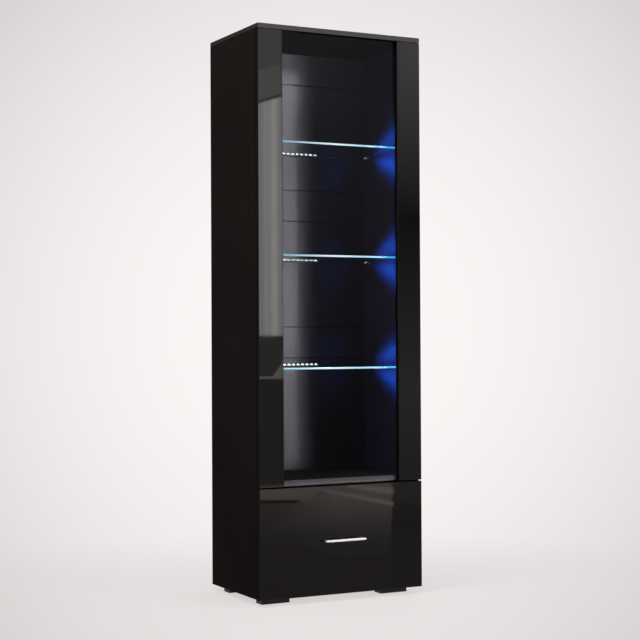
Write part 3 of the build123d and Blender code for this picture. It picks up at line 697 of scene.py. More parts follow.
def corners(points: list[Vector]) -> tuple[Vector, Vector]:
    """The lowest and highest corners of some points."""
    return tuple(Vector(pick(p[i] for p in points) for i in range(3)) for pick in (min, max))


class RepeatTree:
    """A Geometry Nodes tree that sets one small piece on many seats."""

    seed: int = 7
    smooth_below: float = math.radians(32)

    def __init__(self, name: str, *labels: str) -> None:
        """Open the tree and name its inputs.

        Args:
            name: The tree's name.
            *labels: The names of its sizes.
        """
        self.tree = bpy.data.node_groups.new(name, "GeometryNodeTree")
        sides = self.tree.interface
        sides.new_socket("Geometry", in_out="INPUT", socket_type="NodeSocketGeometry")
        sides.new_socket("Geometry", in_out="OUTPUT", socket_type="NodeSocketGeometry")
        kinds = {**dict.fromkeys(labels, "NodeSocketFloat"), "Material": "NodeSocketMaterial"}
        self.keys = {
            label: sides.new_socket(label, in_out="INPUT", socket_type=kind).identifier
            for label, kind in kinds.items()
        }
        self.given = add(self.tree, "NodeGroupInput")

    def close(self, piece: Socket, turn: float = 0.0) -> None:
        """Set the piece on every seat, turned by chance about its own axis, and end the tree.

        Args:
            piece: The geometry that repeats, which points up Z.
            turn: The largest chance turn in radians.
        """
        tree = self.tree
        axis = add(
            tree, "GeometryNodeInputNamedAttribute", {"Name": "axis"}, data_type="FLOAT_VECTOR"
        )[0]
        facing = add(tree, "FunctionNodeAlignRotationToVector", {"Vector": axis}, axis="Z")[0]
        chance = add(
            tree, "FunctionNodeRandomValue", {2: 0.0, 3: turn, "Seed": self.seed}, data_type="FLOAT"
        )[1]
        spin = add(tree, "ShaderNodeCombineXYZ", {2: chance})[0]
        placed = add(
            tree,
            "GeometryNodeInstanceOnPoints",
            {"Points": self.given["Geometry"], "Instance": piece, "Rotation": facing},
        )[0]
        turned = add(
            tree, "GeometryNodeRotateInstances", {"Instances": placed, "Rotation": spin}
        )[0]
        real = add(tree, "GeometryNodeRealizeInstances", {"Geometry": turned})[0]
        bend = add(tree, "GeometryNodeInputMeshEdgeAngle")[0]
        slight = add(
            tree, "FunctionNodeCompare", {0: bend, 1: self.smooth_below}, operation="LESS_THAN"
        )[0]
        soft = add(
            tree,
            "GeometryNodeSetShadeSmooth",
            {"Geometry": real, "Shade Smooth": slight},
            domain="EDGE",
        )[0]
        dressed = add(
            tree, "GeometryNodeSetMaterial", {"Geometry": soft, "Material": self.given["Material"]}
        )[0]
        add(tree, "NodeGroupOutput", {"Geometry": dressed})

    def grow(self, name: str, seats: list[Seat], finish: Finish, **values: float) -> Piece:
        """Run the tree once and keep the result as a plain mesh.

        Args:
            name: The new piece's name.
            seats: Where the small pieces sit.
            finish: The finish that they take.
            **values: A value for each named size, with spaces as underscores.

        Returns:
            The piece, at the origin.
        """
        mesh = bpy.data.meshes.new(name)
        mesh.from_pydata([s.place for s in seats], [], [])
        ways = mesh.attributes.new("axis", "FLOAT_VECTOR", "POINT")
        for spot, seat in zip(ways.data, seats):
            spot.vector = seat.axis
        piece = bpy.data.objects.new(name, mesh)
        bpy.context.scene.collection.objects.link(piece)
        run = piece.modifiers.new("repeat", "NODES")
        run.node_group = self.tree
        for label, value in values.items():
            run[self.keys[label.replace("_", " ")]] = value
        run[self.keys["Material"]] = finish.material()
        view = bpy.context.evaluated_depsgraph_get()
        plain = bpy.data.meshes.new_from_object(piece.evaluated_get(view), depsgraph=view)
        piece.modifiers.clear()
        piece.data = plain
        plain.name = name
        bpy.data.meshes.remove(mesh)
        return piece


@dataclass
class LampBars(SubAssembly):
    """Lamp bars on the shelves: rows of lit lenses, leads behind the back, and their inlet."""

    lens_radius: float = 6 * MM
    lens_depth: float = 3 * MM
    segments: int = 24
    rings: int = 12
    slack: float = 1e-4

    def build(self) -> None:
        """Grow the lenses and dress the bars, leads and inlet."""
        seats = []
        for points in solids("lamp_lenses"):
            low, high = corners(points)
            seats.append(Seat(Vector(((low.x + high.x) / 2, high.y, low.z)), Vector((0, 0, 1))))
        lenses = self.lens_tree().grow(
            "lamp_lens_rows", seats, LENS, Radius=self.lens_radius, Depth=self.lens_depth
        )
        # The lenses are points of light to the eye. Their spill on the boards and their mirror
        # image in the shelf would swamp the dark case, so only the eye sees them.
        lenses.visible_diffuse = False
        lenses.visible_glossy = False
        self.join(lenses, Body.CARCASS, Slot.LENS, "lamp_lenses")
        self.dress(ANODISED, *(f"lamp_bar_{level}" for level in SHELVES))
        self.dress(SHEATH, "lamp_leads")
        self.dress(BLACK_ABS, "lamp_inlet")

    def lens_tree(self) -> RepeatTree:
        """Make the tree that sets half-dome lenses, flat at the foot and rear, on their seats.

        Returns:
            The tree.
        """
        made = RepeatTree("lens_rows", "Radius", "Depth")
        tree, given = made.tree, made.given
        ball = add(
            tree,
            "GeometryNodeMeshUVSphere",
            {"Segments": self.segments, "Rings": self.rings, "Radius": 1.0},
        )[0]
        spot = add(tree, "GeometryNodeInputPosition")[0]
        _, depth, rise = add(tree, "ShaderNodeSeparateXYZ", {0: spot})
        below = add(
            tree, "FunctionNodeCompare", {0: rise, 1: -self.slack}, operation="LESS_THAN"
        )[0]
        behind = add(
            tree, "FunctionNodeCompare", {0: depth, 1: self.slack}, operation="GREATER_THAN"
        )[0]
        cut = add(tree, "FunctionNodeBooleanMath", {0: below, 1: behind}, operation="OR")[0]
        part = add(tree, "GeometryNodeDeleteGeometry", {"Geometry": ball, "Selection": cut})[0]
        dome = add(tree, "GeometryNodeConvexHull", {"Geometry": part})[0]
        marked = add(
            tree,
            "GeometryNodeStoreNamedAttribute",
            {"Geometry": dome, "Name": "height", "Value": rise},
            data_type="FLOAT",
        )[0]
        sides = (given["Radius"], given["Depth"], given["Radius"])
        size = add(tree, "ShaderNodeCombineXYZ", dict(enumerate(sides)))[0]
        lens = add(tree, "GeometryNodeTransform", {"Geometry": marked, "Scale": size})[0]
        made.close(lens)
        return made


@dataclass
class Fasteners(SubAssembly):
    """Screws, cam locks, bolts and dowels of every joint.

    A recess is sized as shares of its head: the arms of the diameter, the depth of the height,
    and the width of a screw's diameter or a cam's radius. The crown of a screw is a list of
    rings, each with its shares of the head's radius and height.
    """

    recess_width: float = 0.22
    screw_arm: float = 0.62
    screw_depth: float = 0.62
    cam_arm: float = 0.6
    cam_depth: float = 0.3
    rim: float = 0.45
    crown: tuple[Span, ...] = ((0.9, 0.75), (0.7, 0.92), (0.4, 0.99))
    head_sides: int = 24
    shank_sides: int = 12
    cam_sides: int = 32
    thin: float = 0.001

    def build(self) -> None:
        """Grow the screws and cam locks, and dress what is left as the CAD has it."""
        screws, cams = self.screw_tree(), self.cam_tree()
        for node, body in (
            ("fitting_screws", Body.CARCASS),
            ("foot_screws", Body.CARCASS),
            ("hinge_cup_screws", Body.DOOR),
            ("drawer_screws", Body.DRAWER),
            ("handle_screws", Body.DRAWER),
        ):
            self.set_screws(screws, node, body)
        self.set_cams(cams, "cam_locks", Body.CARCASS)
        self.set_cams(cams, "drawer_cam_locks", Body.DRAWER)
        self.dress(ZINC, "cam_bolts", "drawer_cam_bolts")
        self.dress(BEECH, "joint_dowels")

    def set_screws(self, tree: RepeatTree, node: str, body: Body) -> None:
        """Put cross-recess screws where a node has plain ones.

        Args:
            tree: The screw tree.
            node: The node whose screws are replaced.
            body: The body that they ride on.
        """
        sizes: dict[tuple[float, ...], list[Seat]] = {}
        for points in solids(node):
            low, high = corners(points)
            spread = high - low
            way = max(range(3), key=lambda i: spread[i])
            side = (way + 1) % 3
            levels = sorted({round(p[way], DECIMALS) for p in points})
            tip, plane, top = levels[0], levels[1], levels[-1]
            if plane - tip < top - plane:
                tip, plane, top = levels[-1], levels[-2], levels[0]
            shank = corners([p for p in points if round(p[way], DECIMALS) == tip])
            head = (spread[side] / 2, abs(top - plane))
            stem = ((shank[1] - shank[0])[side] / 2, abs(plane - tip))
            place = (low + high) / 2
            place[way] = plane
            axis = Vector((0, 0, 0))
            axis[way] = math.copysign(1, top - plane)
            key = tuple(round(v, DECIMALS) for v in head + stem)
            sizes.setdefault(key, []).append(Seat(place, axis))
        for number, (key, seats) in enumerate(sorted(sizes.items()), 1):
            piece = tree.grow(
                f"{node}_cross_{number}",
                seats,
                ZINC,
                Head_radius=key[0],
                Head_height=key[1],
                Shank_radius=key[2],
                Shank_length=key[3],
                Recess_width=key[0] * self.recess_width * 2,
                Recess_depth=key[1] * self.screw_depth,
            )
            self.join(piece, body, Slot.ZINC, node)

    def set_cams(self, tree: RepeatTree, node: str, body: Body) -> None:
        """Put slotted cam locks where a node has plain discs.

        Args:
            tree: The cam tree.
            node: The node whose discs are replaced.
            body: The body that they ride on.
        """
        seats, radius, height = [], 0.0, 0.0
        for points in solids(node):
            low, high = corners(points)
            spread = high - low
            way = min(range(3), key=lambda i: spread[i])
            place = (low + high) / 2
            # A cam in a side board faces the middle of the cabinet, one in a level board down.
            down = way == Axis.Z.value or place.x > 0
            axis = Vector((0, 0, 0))
            axis[way] = -1.0 if down else 1.0
            place[way] = low[way] if down else high[way]
            seats.append(Seat(place, axis))
            radius, height = round(max(spread) / 2, DECIMALS), round(spread[way], DECIMALS)
        piece = tree.grow(
            f"{node}_slotted",
            seats,
            BLACK_ZINC,
            Head_radius=radius,
            Head_height=height,
            Recess_width=radius * self.recess_width,
            Recess_depth=height * self.cam_depth,
        )
        self.join(piece, body, Slot.ZINC, node)

    def crossed(self, made: RepeatTree, head: Socket, top: Socket | float, arm: float) -> Socket:
        """Cut a cross recess into the top of a round head.

        Args:
            made: The tree, with inputs for the recess.
            head: The head's geometry.
            top: The height of its crown.
            arm: The arms' length as a share of the head's diameter.

        Returns:
            The head with its recess.
        """
        tree, given = made.tree, made.given
        length = add(
            tree, "ShaderNodeMath", {0: given["Head radius"], 1: arm * 2}, operation="MULTIPLY"
        )[0]
        deep = add(
            tree, "ShaderNodeMath", {0: given["Recess depth"], 1: 2.0}, operation="MULTIPLY"
        )[0]
        wide = given["Recess width"]
        at = add(tree, "ShaderNodeCombineXYZ", {2: top})[0]
        for sides in ((length, wide, deep), (wide, length, deep)):
            size = add(tree, "ShaderNodeCombineXYZ", dict(enumerate(sides)))[0]
            block = add(tree, "GeometryNodeMeshCube", {"Size": size})[0]
            moved = add(tree, "GeometryNodeTransform", {"Geometry": block, "Translation": at})[0]
            head = add(
                tree,
                "GeometryNodeMeshBoolean",
                {"Mesh 1": head, "Mesh 2": moved},
                operation="DIFFERENCE",
                solver="EXACT",
            )[0]
        return head

    def screw_tree(self) -> RepeatTree:
        """Make the tree that sets domed cross-recess screws on their seats.

        Returns:
            The tree.
        """
        made = RepeatTree(
            "cross_screws",
            "Head radius",
            "Head height",
            "Shank radius",
            "Shank length",
            "Recess width",
            "Recess depth",
        )
        tree, given = made.tree, made.given
        radius, height = given["Head radius"], given["Head height"]
        rim = add(tree, "ShaderNodeMath", {0: height, 1: self.rim}, operation="MULTIPLY")[0]
        half = add(tree, "ShaderNodeMath", {0: rim, 1: 0.5}, operation="MULTIPLY")[0]
        disc = add(
            tree,
            "GeometryNodeMeshCylinder",
            {"Vertices": self.head_sides, "Radius": radius, "Depth": rim},
        )[0]
        up = add(tree, "ShaderNodeCombineXYZ", {2: half})[0]
        rings = [add(tree, "GeometryNodeTransform", {"Geometry": disc, "Translation": up})[0]]
        hoop = add(
            tree,
            "GeometryNodeMeshCylinder",
            {"Vertices": self.head_sides, "Radius": 1.0, "Depth": self.thin},
        )[0]
        for wide, high in self.crown:
            reach = add(tree, "ShaderNodeMath", {0: radius, 1: wide}, operation="MULTIPLY")[0]
            rise = add(tree, "ShaderNodeMath", {0: height, 1: high}, operation="MULTIPLY")[0]
            up = add(tree, "ShaderNodeCombineXYZ", {2: rise})[0]
            size = add(tree, "ShaderNodeCombineXYZ", {0: reach, 1: reach, 2: self.thin})[0]
            rings.append(
                add(
                    tree,
                    "GeometryNodeTransform",
                    {"Geometry": hoop, "Translation": up, "Scale": size},
                )[0]
            )
        stack = add(tree, "GeometryNodeJoinGeometry", {"Geometry": rings})[0]
        dome = add(tree, "GeometryNodeConvexHull", {"Geometry": stack})[0]
        head = self.crossed(made, dome, height, self.screw_arm)
        drop = add(
            tree, "ShaderNodeMath", {0: given["Shank length"], 1: -0.5}, operation="MULTIPLY"
        )[0]
        shank = add(
            tree,
            "GeometryNodeMeshCylinder",
            {
                "Vertices": self.shank_sides,
                "Radius": given["Shank radius"],
                "Depth": given["Shank length"],
            },
        )[0]
        under = add(tree, "ShaderNodeCombineXYZ", {2: drop})[0]
        sunk = add(tree, "GeometryNodeTransform", {"Geometry": shank, "Translation": under})[0]
        whole = add(tree, "GeometryNodeJoinGeometry", {"Geometry": [head, sunk]})[0]
        made.close(whole, math.pi / 2)
        return made

    def cam_tree(self) -> RepeatTree:
        """Make the tree that sets cam discs with a cross slot, sunk below their seats.

        Returns:
            The tree.
        """
        made = RepeatTree("cam_discs", "Head radius", "Head height", "Recess width", "Recess depth")
        tree, given = made.tree, made.given
        radius, height = given["Head radius"], given["Head height"]
        drop = add(tree, "ShaderNodeMath", {0: height, 1: -0.5}, operation="MULTIPLY")[0]
        disc = add(
            tree,
            "GeometryNodeMeshCylinder",
            {"Vertices": self.cam_sides, "Radius": radius, "Depth": height},
        )[0]
        under = add(tree, "ShaderNodeCombineXYZ", {2: drop})[0]
        sunk = add(tree, "GeometryNodeTransform", {"Geometry": disc, "Translation": under})[0]
        made.close(self.crossed(made, sunk, 0.0, self.cam_arm), math.pi / 2)
        return made


@dataclass
class Carcass(SubAssembly):
    """Boards of the case, its back boards with the tape over their joints, and its feet."""

    tape_width: float = 24 * MM
    tape_thickness: float = 0.2 * MM

    def build(self) -> None:
        """Dress the boards and the feet, and tape the back."""
        self.dress(SIDE_BOARD, "side_panel_left", "side_panel_right")
        self.dress(TOP_BOARD, "top_panel")
        self.dress(LEVEL_BOARD, "bottom_panel", "divider_panel")
        self.dress(BACK_BOARD, "back_rails", *(f"back_panel_{part}" for part in BACK_PANELS))
        for end in ("front", "rear"):
            self.dress(BLACK_ABS, f"foot_{end}_left", f"foot_{end}_right")
        self.tape_back()

    def tape_back(self) -> None:
        """Close the joints between the back boards from behind, so that no light shows through."""
        boards = [corners(points) for points in solids("back_rails")]
        boards += [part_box(f"back_panel_{part}") for part in BACK_PANELS]
        boards.sort(key=lambda board: board[0].z)
        rear = max(high.y for _, high in boards) + self.tape_thickness / 2
        seats = [
            Seat(Vector((0, rear, (under[1].z + over[0].z) / 2)), Vector((0, 1, 0)))
            for under, over in zip(boards, boards[1:])
        ]
        tapes = self.tape_tree().grow(
            "back_joint_tapes",
            seats,
            TAPE,
            Length=2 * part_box("side_panel_right")[0].x,
            Width=self.tape_width,
            Thickness=self.tape_thickness,
        )
        self.join(tapes, Body.CARCASS, Slot.PLASTIC)

    def tape_tree(self) -> RepeatTree:
        """Make the tree that lays strips of tape on their seats.

        Returns:
            The tree.
        """
        labels = ("Length", "Width", "Thickness")
        made = RepeatTree("joint_tapes", *labels)
        sides = {i: made.given[label] for i, label in enumerate(labels)}
        size = add(made.tree, "ShaderNodeCombineXYZ", sides)[0]
        made.close(add(made.tree, "GeometryNodeMeshCube", {"Size": size})[0])
        return made


class Shelves(SubAssembly):
    """Glass shelves and the pins that carry them."""

    def build(self) -> None:
        """Dress the shelves and their pins, and let light through the glass."""
        low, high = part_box("glass_shelf_lower")
        # Float glass, clear through its face. Its front edge carries the lamps' light as a line.
        glass = LitGlassFinish(
            "float_glass_lit_edge",
            "#eff8f7",
            "#9cc7cf",
            Axis.Y,
            (low.y + high.y) / 2,
            (high.y - low.y) / 2,
            wipe=0.002,
        )
        for level in SHELVES:
            self.dress(glass, f"glass_shelf_{level}")
            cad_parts[f"glass_shelf_{level}"].visible_shadow = False
        self.dress(NICKEL, "shelf_pins")


class Door(SubAssembly):
    """The one door: two gloss stiles, the pane between them, its beads, hinges and latch."""

    def build(self) -> None:
        """Dress the stiles, pane, beads, bumpers, hinges and latch."""
        low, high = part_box("door_glass")
        # Float glass: it shows by a weak mirror image and by the green of its cut edges.
        pane = GlassFinish(
            "float_glass_pane",
            "#f4f8f8",
            "#8fb8ae",
            Axis.Z,
            (low.z + high.z) / 2,
            (high.z - low.z) / 2,
        )
        self.dress(DOOR_FOIL, "door_stile_left", "door_stile_right")
        self.dress(pane, "door_glass")
        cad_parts["door_glass"].visible_shadow = False
        self.dress(BLACK_ABS, "glazing_bead_left", "glazing_bead_right", "latch_housing")
        self.dress(RUBBER, "door_bumpers")
        self.dress(ZINC, "hinge_cups", "hinge_plates", "hinge_arms", "latch_strike")
        self.dress(NICKEL, "hinge_pins")
        self.dress(GREY_ABS, "latch_plunger")


class Drawer(SubAssembly):
    """The drawer: its gloss front and handle, its box, and its runners."""

    def build(self) -> None:
        """Dress the front, the handle, the box and the three members of each runner."""
        self.dress(DOOR_FOIL, "drawer_front")
        self.dress(SATIN_CHROME, "handle")
        self.dress(DRAWER_BOARD, "drawer_side_left", "drawer_side_right")
        self.dress(DRAWER_BOARD, "drawer_back", "drawer_bottom")
        for member in ("outer", "middle", "inner"):
            self.dress(ZINC, f"runner_{member}_left", f"runner_{member}_right")
        self.dress(NICKEL, "runner_balls")


@dataclass(frozen=True)
class CardFinish(Finish):
    """A lit card that only gloss sees, streaked or not, its strength even or changing on an axis."""

    tone: str
    low: float
    high: float | None = None
    span: Span = (0.0, 1.0)
    fold: float = 0.0
    along: Axis = Axis.Z
    case: float | None = None
    fade: Span | None = None
    rest: float = 0.0
    streak: Span = (0.6, 1.4)
    glass_faces: int = 4

    def paint(self) -> Material:
        """Give light that runs from low to high over the span, streaked by upright folds.

        A card with a case strength shows it to rays that cross the pane, meet a board and
        cross the pane again, so that the satin back has a light to mirror. A card with a fade
        starts from its rest strength at the left.

        Returns:
            The material.
        """
        made, tree, place = self.blank()
        ways = add(tree, "ShaderNodeSeparateXYZ", {0: place})
        run = (self.low, self.low if self.high is None else self.high)
        level = add(
            tree, "ShaderNodeMapRange", {"Value": ways[self.along.value], **spans(self.span, run)}
        )[0]
        if self.fold:
            scale = (1 / self.fold, 0.0, 0.15)
            drawn = add(tree, "ShaderNodeMapping", {"Vector": place, "Scale": scale})[0]
            folds = add(
                tree, "ShaderNodeTexNoise", {"Vector": drawn, "Scale": 1.0, "Detail": 3.0}
            )[0]
            streaks = add(
                tree, "ShaderNodeMapRange", {"Value": folds, **spans(NOISE, self.streak)}
            )[0]
            level = add(tree, "ShaderNodeMath", {0: level, 1: streaks}, operation="MULTIPLY")[0]
        if self.fade:
            share = add(tree, "ShaderNodeMapRange", {"Value": ways[0], **spans(self.fade)})[0]
            level = add(tree, "ShaderNodeMix", {0: share, 2: self.rest, 3: level})[0]
        if self.case:
            passes = add(tree, "ShaderNodeLightPath")["Transmission Depth"]
            limit = self.glass_faces - 0.5
            back = add(tree, "ShaderNodeMath", {0: passes, 1: limit}, operation="GREATER_THAN")[0]
            level = add(tree, "ShaderNodeMix", {0: back, 2: level, 3: self.case})[0]
        level = add(
            tree, "ShaderNodeMath", {0: level, 1: to_the_eye(tree)}, operation="MULTIPLY"
        )[0]
        light = add(tree, "ShaderNodeEmission", {"Color": linear(self.tone), "Strength": level})[0]
        add(tree, "ShaderNodeOutputMaterial", {"Surface": light})
        return made


@dataclass(frozen=True)
class Backdrop:
    """Seamless pale paper, lit in the middle and dimming evenly towards its rim."""

    middle: str
    rim: str
    eye: Point
    ahead: Point
    spread: float

    def tone(self, tree: Tree, way: Socket) -> Socket:
        """Run from the middle's tone to the rim's.

        Args:
            tree: The tree that shows the paper.
            way: The direction in which a point of the paper lies, one unit long.

        Returns:
            The paper's tone there.
        """
        along = add(
            tree, "ShaderNodeVectorMath", {0: way, 1: self.ahead}, operation="DOT_PRODUCT"
        )[1]
        share = add(
            tree, "ShaderNodeMapRange", {"Value": along, **spans((1.0, math.cos(self.spread)))}
        )[0]
        return add(
            tree, "ShaderNodeMix", {0: share, **between(self.middle, self.rim)}, data_type="RGBA"
        )[2]


@dataclass(frozen=True)
class FloorFinish(Finish):
    """The paper underfoot: shown at the backdrop's tone, with the soft shadow of the cabinet."""

    drop: Backdrop
    lit: str
    bounce: str
    near: Span = (0.3, 1.6)
    shown: Span = (0.72, 1.0)

    def paint(self) -> Material:
        """Mix the lit paper with the shown tone near the feet, and only show the tone further off.

        The paper throws less light back on the object than it shows.

        Returns:
            The material.
        """
        made, tree, place = self.blank()
        away = add(tree, "ShaderNodeVectorMath", {0: place}, operation="LENGTH")[1]
        off = add(
            tree, "ShaderNodeVectorMath", {0: place, 1: self.drop.eye}, operation="SUBTRACT"
        )[0]
        way = add(tree, "ShaderNodeVectorMath", {0: off}, operation="NORMALIZE")[0]
        tone = add(tree, "ShaderNodeEmission", {"Color": self.drop.tone(tree, way)})[0]
        paper = add(tree, "ShaderNodeBsdfDiffuse", {"Color": linear(self.lit)})[0]
        share = add(tree, "ShaderNodeMapRange", {"Value": away, **spans(self.near, self.shown)})[0]
        seen = add(tree, "ShaderNodeMixShader", {0: share, 1: paper, 2: tone})[0]
        thrown = add(tree, "ShaderNodeBsdfDiffuse", {"Color": linear(self.bounce)})[0]
        mixed = add(tree, "ShaderNodeMixShader", {0: to_the_eye(tree), 1: thrown, 2: seen})[0]
        add(tree, "ShaderNodeOutputMaterial", {"Surface": mixed})
        return made


@dataclass(frozen=True)
class Lamp:
    """A stage lamp that the eye doesn't see, and that may light only a few nodes."""

    name: str
    place: Point
    aim: Point
    watts: float
    tint: str
    only: tuple[str, ...] = field(default=(), kw_only=True)
    in_gloss: bool = field(default=False, kw_only=True)

    def light(self) -> bpy.types.Light:
        """Make the light; each kind of lamp has its own."""
        raise NotImplementedError

    def build(self) -> Piece:
        """Hang the lamp, turn it to its aim, and keep its light to the nodes that are named.

        Returns:
            The lamp's object.
        """
        light = self.light()
        light.energy = self.watts
        light.color = linear(self.tint)[:3]
        hung = bpy.data.objects.new(self.name, light)
        hung.location = self.place
        aim = Vector(self.aim) - Vector(self.place)
        hung.rotation_euler = aim.to_track_quat("-Z", "Y").to_euler()
        hung.visible_camera = False
        hung.visible_transmission = False
        hung.visible_glossy = self.in_gloss
        bpy.context.scene.collection.objects.link(hung)
        if self.only:
            lit = bpy.data.collections.new(f"{self.name}_lights")
            for node in self.only:
                lit.objects.link(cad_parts[node])
            hung.light_linking.receiver_collection = lit
        return hung


@dataclass(frozen=True)
class SoftBox(Lamp):
    """A soft studio lamp."""

    size: Span

    def light(self) -> bpy.types.Light:
        """Make an even light of the box's size.

        Returns:
            The light.
        """
        made = bpy.data.lights.new(self.name, "AREA")
        made.shape = "RECTANGLE"
        made.size, made.size_y = self.size
        return made


@dataclass(frozen=True)
class ShelfFan(Lamp):
    """A lamp whose light spreads along a shelf as a flat fan."""

    flat: float
    cone: float = math.radians(166)
    radius: float = 4 * MM

    def light(self) -> bpy.types.Light:
        """Make a wide cone of light with a soft edge.

        Returns:
            The light.
        """
        made = bpy.data.lights.new(self.name, "SPOT")
        made.spot_size = self.cone
        made.spot_blend = 1.0
        made.shadow_soft_size = self.radius
        return made

    def build(self) -> Piece:
        """Hang the lamp and flatten its cone.

        Returns:
            The lamp's object.
        """
        hung = super().build()
        hung.scale = (1, self.flat, 1)
        return hung


@dataclass
class Studio:
    """Floor, backdrop, lamps, cards and camera."""

    eye: Point = (-2.3415, -4.5557, 0.8656)
    yaw: float = math.radians(27.318)
    tilt: float = math.radians(0.587)
    roll: float = math.radians(-0.273)
    focal_pixels: float = 1515.7
    image_width: int = 640
    sensor: float = 36.0
    sight: float = 100.0
    drop_spread: float = math.radians(16.4)
    soft_light: float = 0.15
    floor_reach: float = 30.0
    card_y: float = -2.0

    @property
    def level(self) -> Vector:
        """The level direction that the view goes in."""
        return Vector((math.sin(self.yaw), math.cos(self.yaw), 0))

    @property
    def ahead(self) -> Vector:
        """The direction that the view goes in."""
        return self.level * math.cos(self.tilt) + Vector((0, 0, 1)) * math.sin(self.tilt)

    @property
    def drop(self) -> Backdrop:
        """The paper behind and under the cabinet."""
        return Backdrop("#fcf8f7", "#d9d4d4", self.eye, tuple(self.ahead), self.drop_spread)

    def build(self) -> None:
        """Set everything up round the cabinet."""
        self.camera()
        self.backdrop()
        self.floor()
        for lamp in self.boxes() + self.glints() + self.fans():
            lamp.build()
        self.cards()

    def camera(self) -> None:
        """Put the camera where the photograph was taken from."""
        side = Vector((math.cos(self.yaw), -math.sin(self.yaw), 0))
        over = Vector((0, 0, 1)) * math.cos(self.tilt) - self.level * math.sin(self.tilt)
        right = side * math.cos(self.roll) + over * math.sin(self.roll)
        top = over * math.cos(self.roll) - side * math.sin(self.roll)
        lens = bpy.data.cameras.new("camera")
        lens.sensor_width = self.sensor
        lens.lens = self.focal_pixels * self.sensor / self.image_width
        lens.clip_end = self.sight
        seat = bpy.data.objects.new("camera", lens)
        turn = Matrix((right, top, -self.ahead)).transposed()
        seat.matrix_world = Matrix.Translation(self.eye) @ turn.to_4x4()
        bpy.context.scene.collection.objects.link(seat)
        bpy.context.scene.camera = seat

    def backdrop(self) -> None:
        """Paint the world: even soft light, shown to the eye as a pale backdrop."""
        world = bpy.data.worlds.new("pale_backdrop")
        bpy.context.scene.world = world
        world.use_nodes = True
        tree = world.node_tree
        tree.nodes.clear()
        way = add(tree, "ShaderNodeTexCoord")["Generated"]
        shown = add(tree, "ShaderNodeBackground", {"Color": self.drop.tone(tree, way)})[0]
        soft = add(
            tree, "ShaderNodeBackground", {"Color": linear("#f4f4f8"), "Strength": self.soft_light}
        )[0]
        mixed = add(tree, "ShaderNodeMixShader", {0: to_the_eye(tree), 1: soft, 2: shown})[0]
        add(tree, "ShaderNodeOutputWorld", {"Surface": mixed})

    def sheet(self, name: str, points: list[Point], finish: Finish) -> Piece:
        """Lay a flat stage sheet.

        Args:
            name: The sheet's name.
            points: Its corners in order.
            finish: What it is made of.

        Returns:
            The sheet, marked as stage.
        """
        mesh = bpy.data.meshes.new(name)
        mesh.from_pydata(points, [], [tuple(range(len(points)))])
        mesh.materials.append(finish.material())
        laid = bpy.data.objects.new(name, mesh)
        bpy.context.scene.collection.objects.link(laid)
        return laid

    def floor(self) -> None:
        """Lay the pale paper."""
        far = self.floor_reach
        paper = FloorFinish("paper_floor_pale", self.drop, "#dcdad9", "#787675")
        self.sheet("floor", [(-far, -far, 0), (far, -far, 0), (far, far, 0), (-far, far, 0)], paper)

    def boxes(self) -> list[Lamp]:
        """Light the cabinet from the front right, the upper left, overhead and the rear.

        Small boxes light the handle, or stand for light that the lit shelves scatter on
        single boards.

        Returns:
            The soft boxes.
        """
        white, violet = "#ffffff", "#f4eef8"
        mirrored = ("side", "overhead", "rear", "bar")
        only = {
            "bar": ("handle",),
            "spill": ("side_panel_right",),
            "spill_upper": ("back_panel_upper", "back_rails"),
            "spill_top": ("back_rails",),
            "spill_foot": ("back_panel_lower", "back_rails"),
        }
        rows = (
            ("key", (2.9, -5.6, 1.35), (0, 0, 1.05), 330, "#fffdfb", (1.4, 2.6)),
            ("side", (-2.8, -1.0, 3.4), (0, 0, 1.5), 110, "#fffaf5", (2.0, 2.0)),
            ("overhead", (0.2, -0.6, 4.6), (0, 0, 1.0), 50, white, (3.0, 2.0)),
            ("rear", (2.6, 3.4, 2.4), (0, 0, 1.0), 60, white, (2.0, 2.0)),
            ("bar", (0.75, -1.6, 0.25), (0, -0.2, 0.2), 2.3, white, (0.6, 0.25)),
            ("spill", (-0.2, -0.02, 1.1), (0.284, -0.02, 1.1), 12, "#9c9cff", (0.3, 1.4)),
            ("spill_upper", (0.05, -0.1, 1.8), (0.05, 0.19, 1.78), 0.2, violet, (0.3, 0.05)),
            ("spill_top", (-0.02, 0.12, 1.838), (-0.02, 0.19, 1.83), 0.1, "#fffdf4", (0.03, 0.02)),
            ("spill_foot", (-0.02, 0.15, 0.41), (-0.02, 0.19, 0.408), 0.017, violet, (0.06, 0.01)),
        )
        return [
            SoftBox(*row, only=only.get(row[0], ()), in_gloss=row[0] in mirrored) for row in rows
        ]

    def glints(self) -> list[Lamp]:
        """Let the upper two lamp bars strike a spark from the pin at the rear right.

        Returns:
            A small soft box under each of the two shelves.
        """
        right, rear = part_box("shelf_pins")[1].xy
        size, pins = (12 * MM, 12 * MM), ("shelf_pins",)
        made = []
        for level in SHELVES[1:]:
            name, under = f"glint_{level}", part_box(f"glass_shelf_{level}")[0].z
            pin = (right - 9 * MM, rear - 4 * MM, under - 1 * MM)
            place = (pin[0] - 42 * MM, pin[1] + 32 * MM, under - 12 * MM)
            made.append(SoftBox(name, place, pin, 0.14, "#ffffff", size, only=pins, in_gloss=True))
        return made

    def fans(self) -> list[Lamp]:
        """Throw the blue light of each shelf's lamps on the right-hand board.

        Returns:
            A fan over and a fan under each shelf.
        """
        board = ("side_panel_right",)
        made = []
        for level in SHELVES:
            low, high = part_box(f"glass_shelf_{level}")
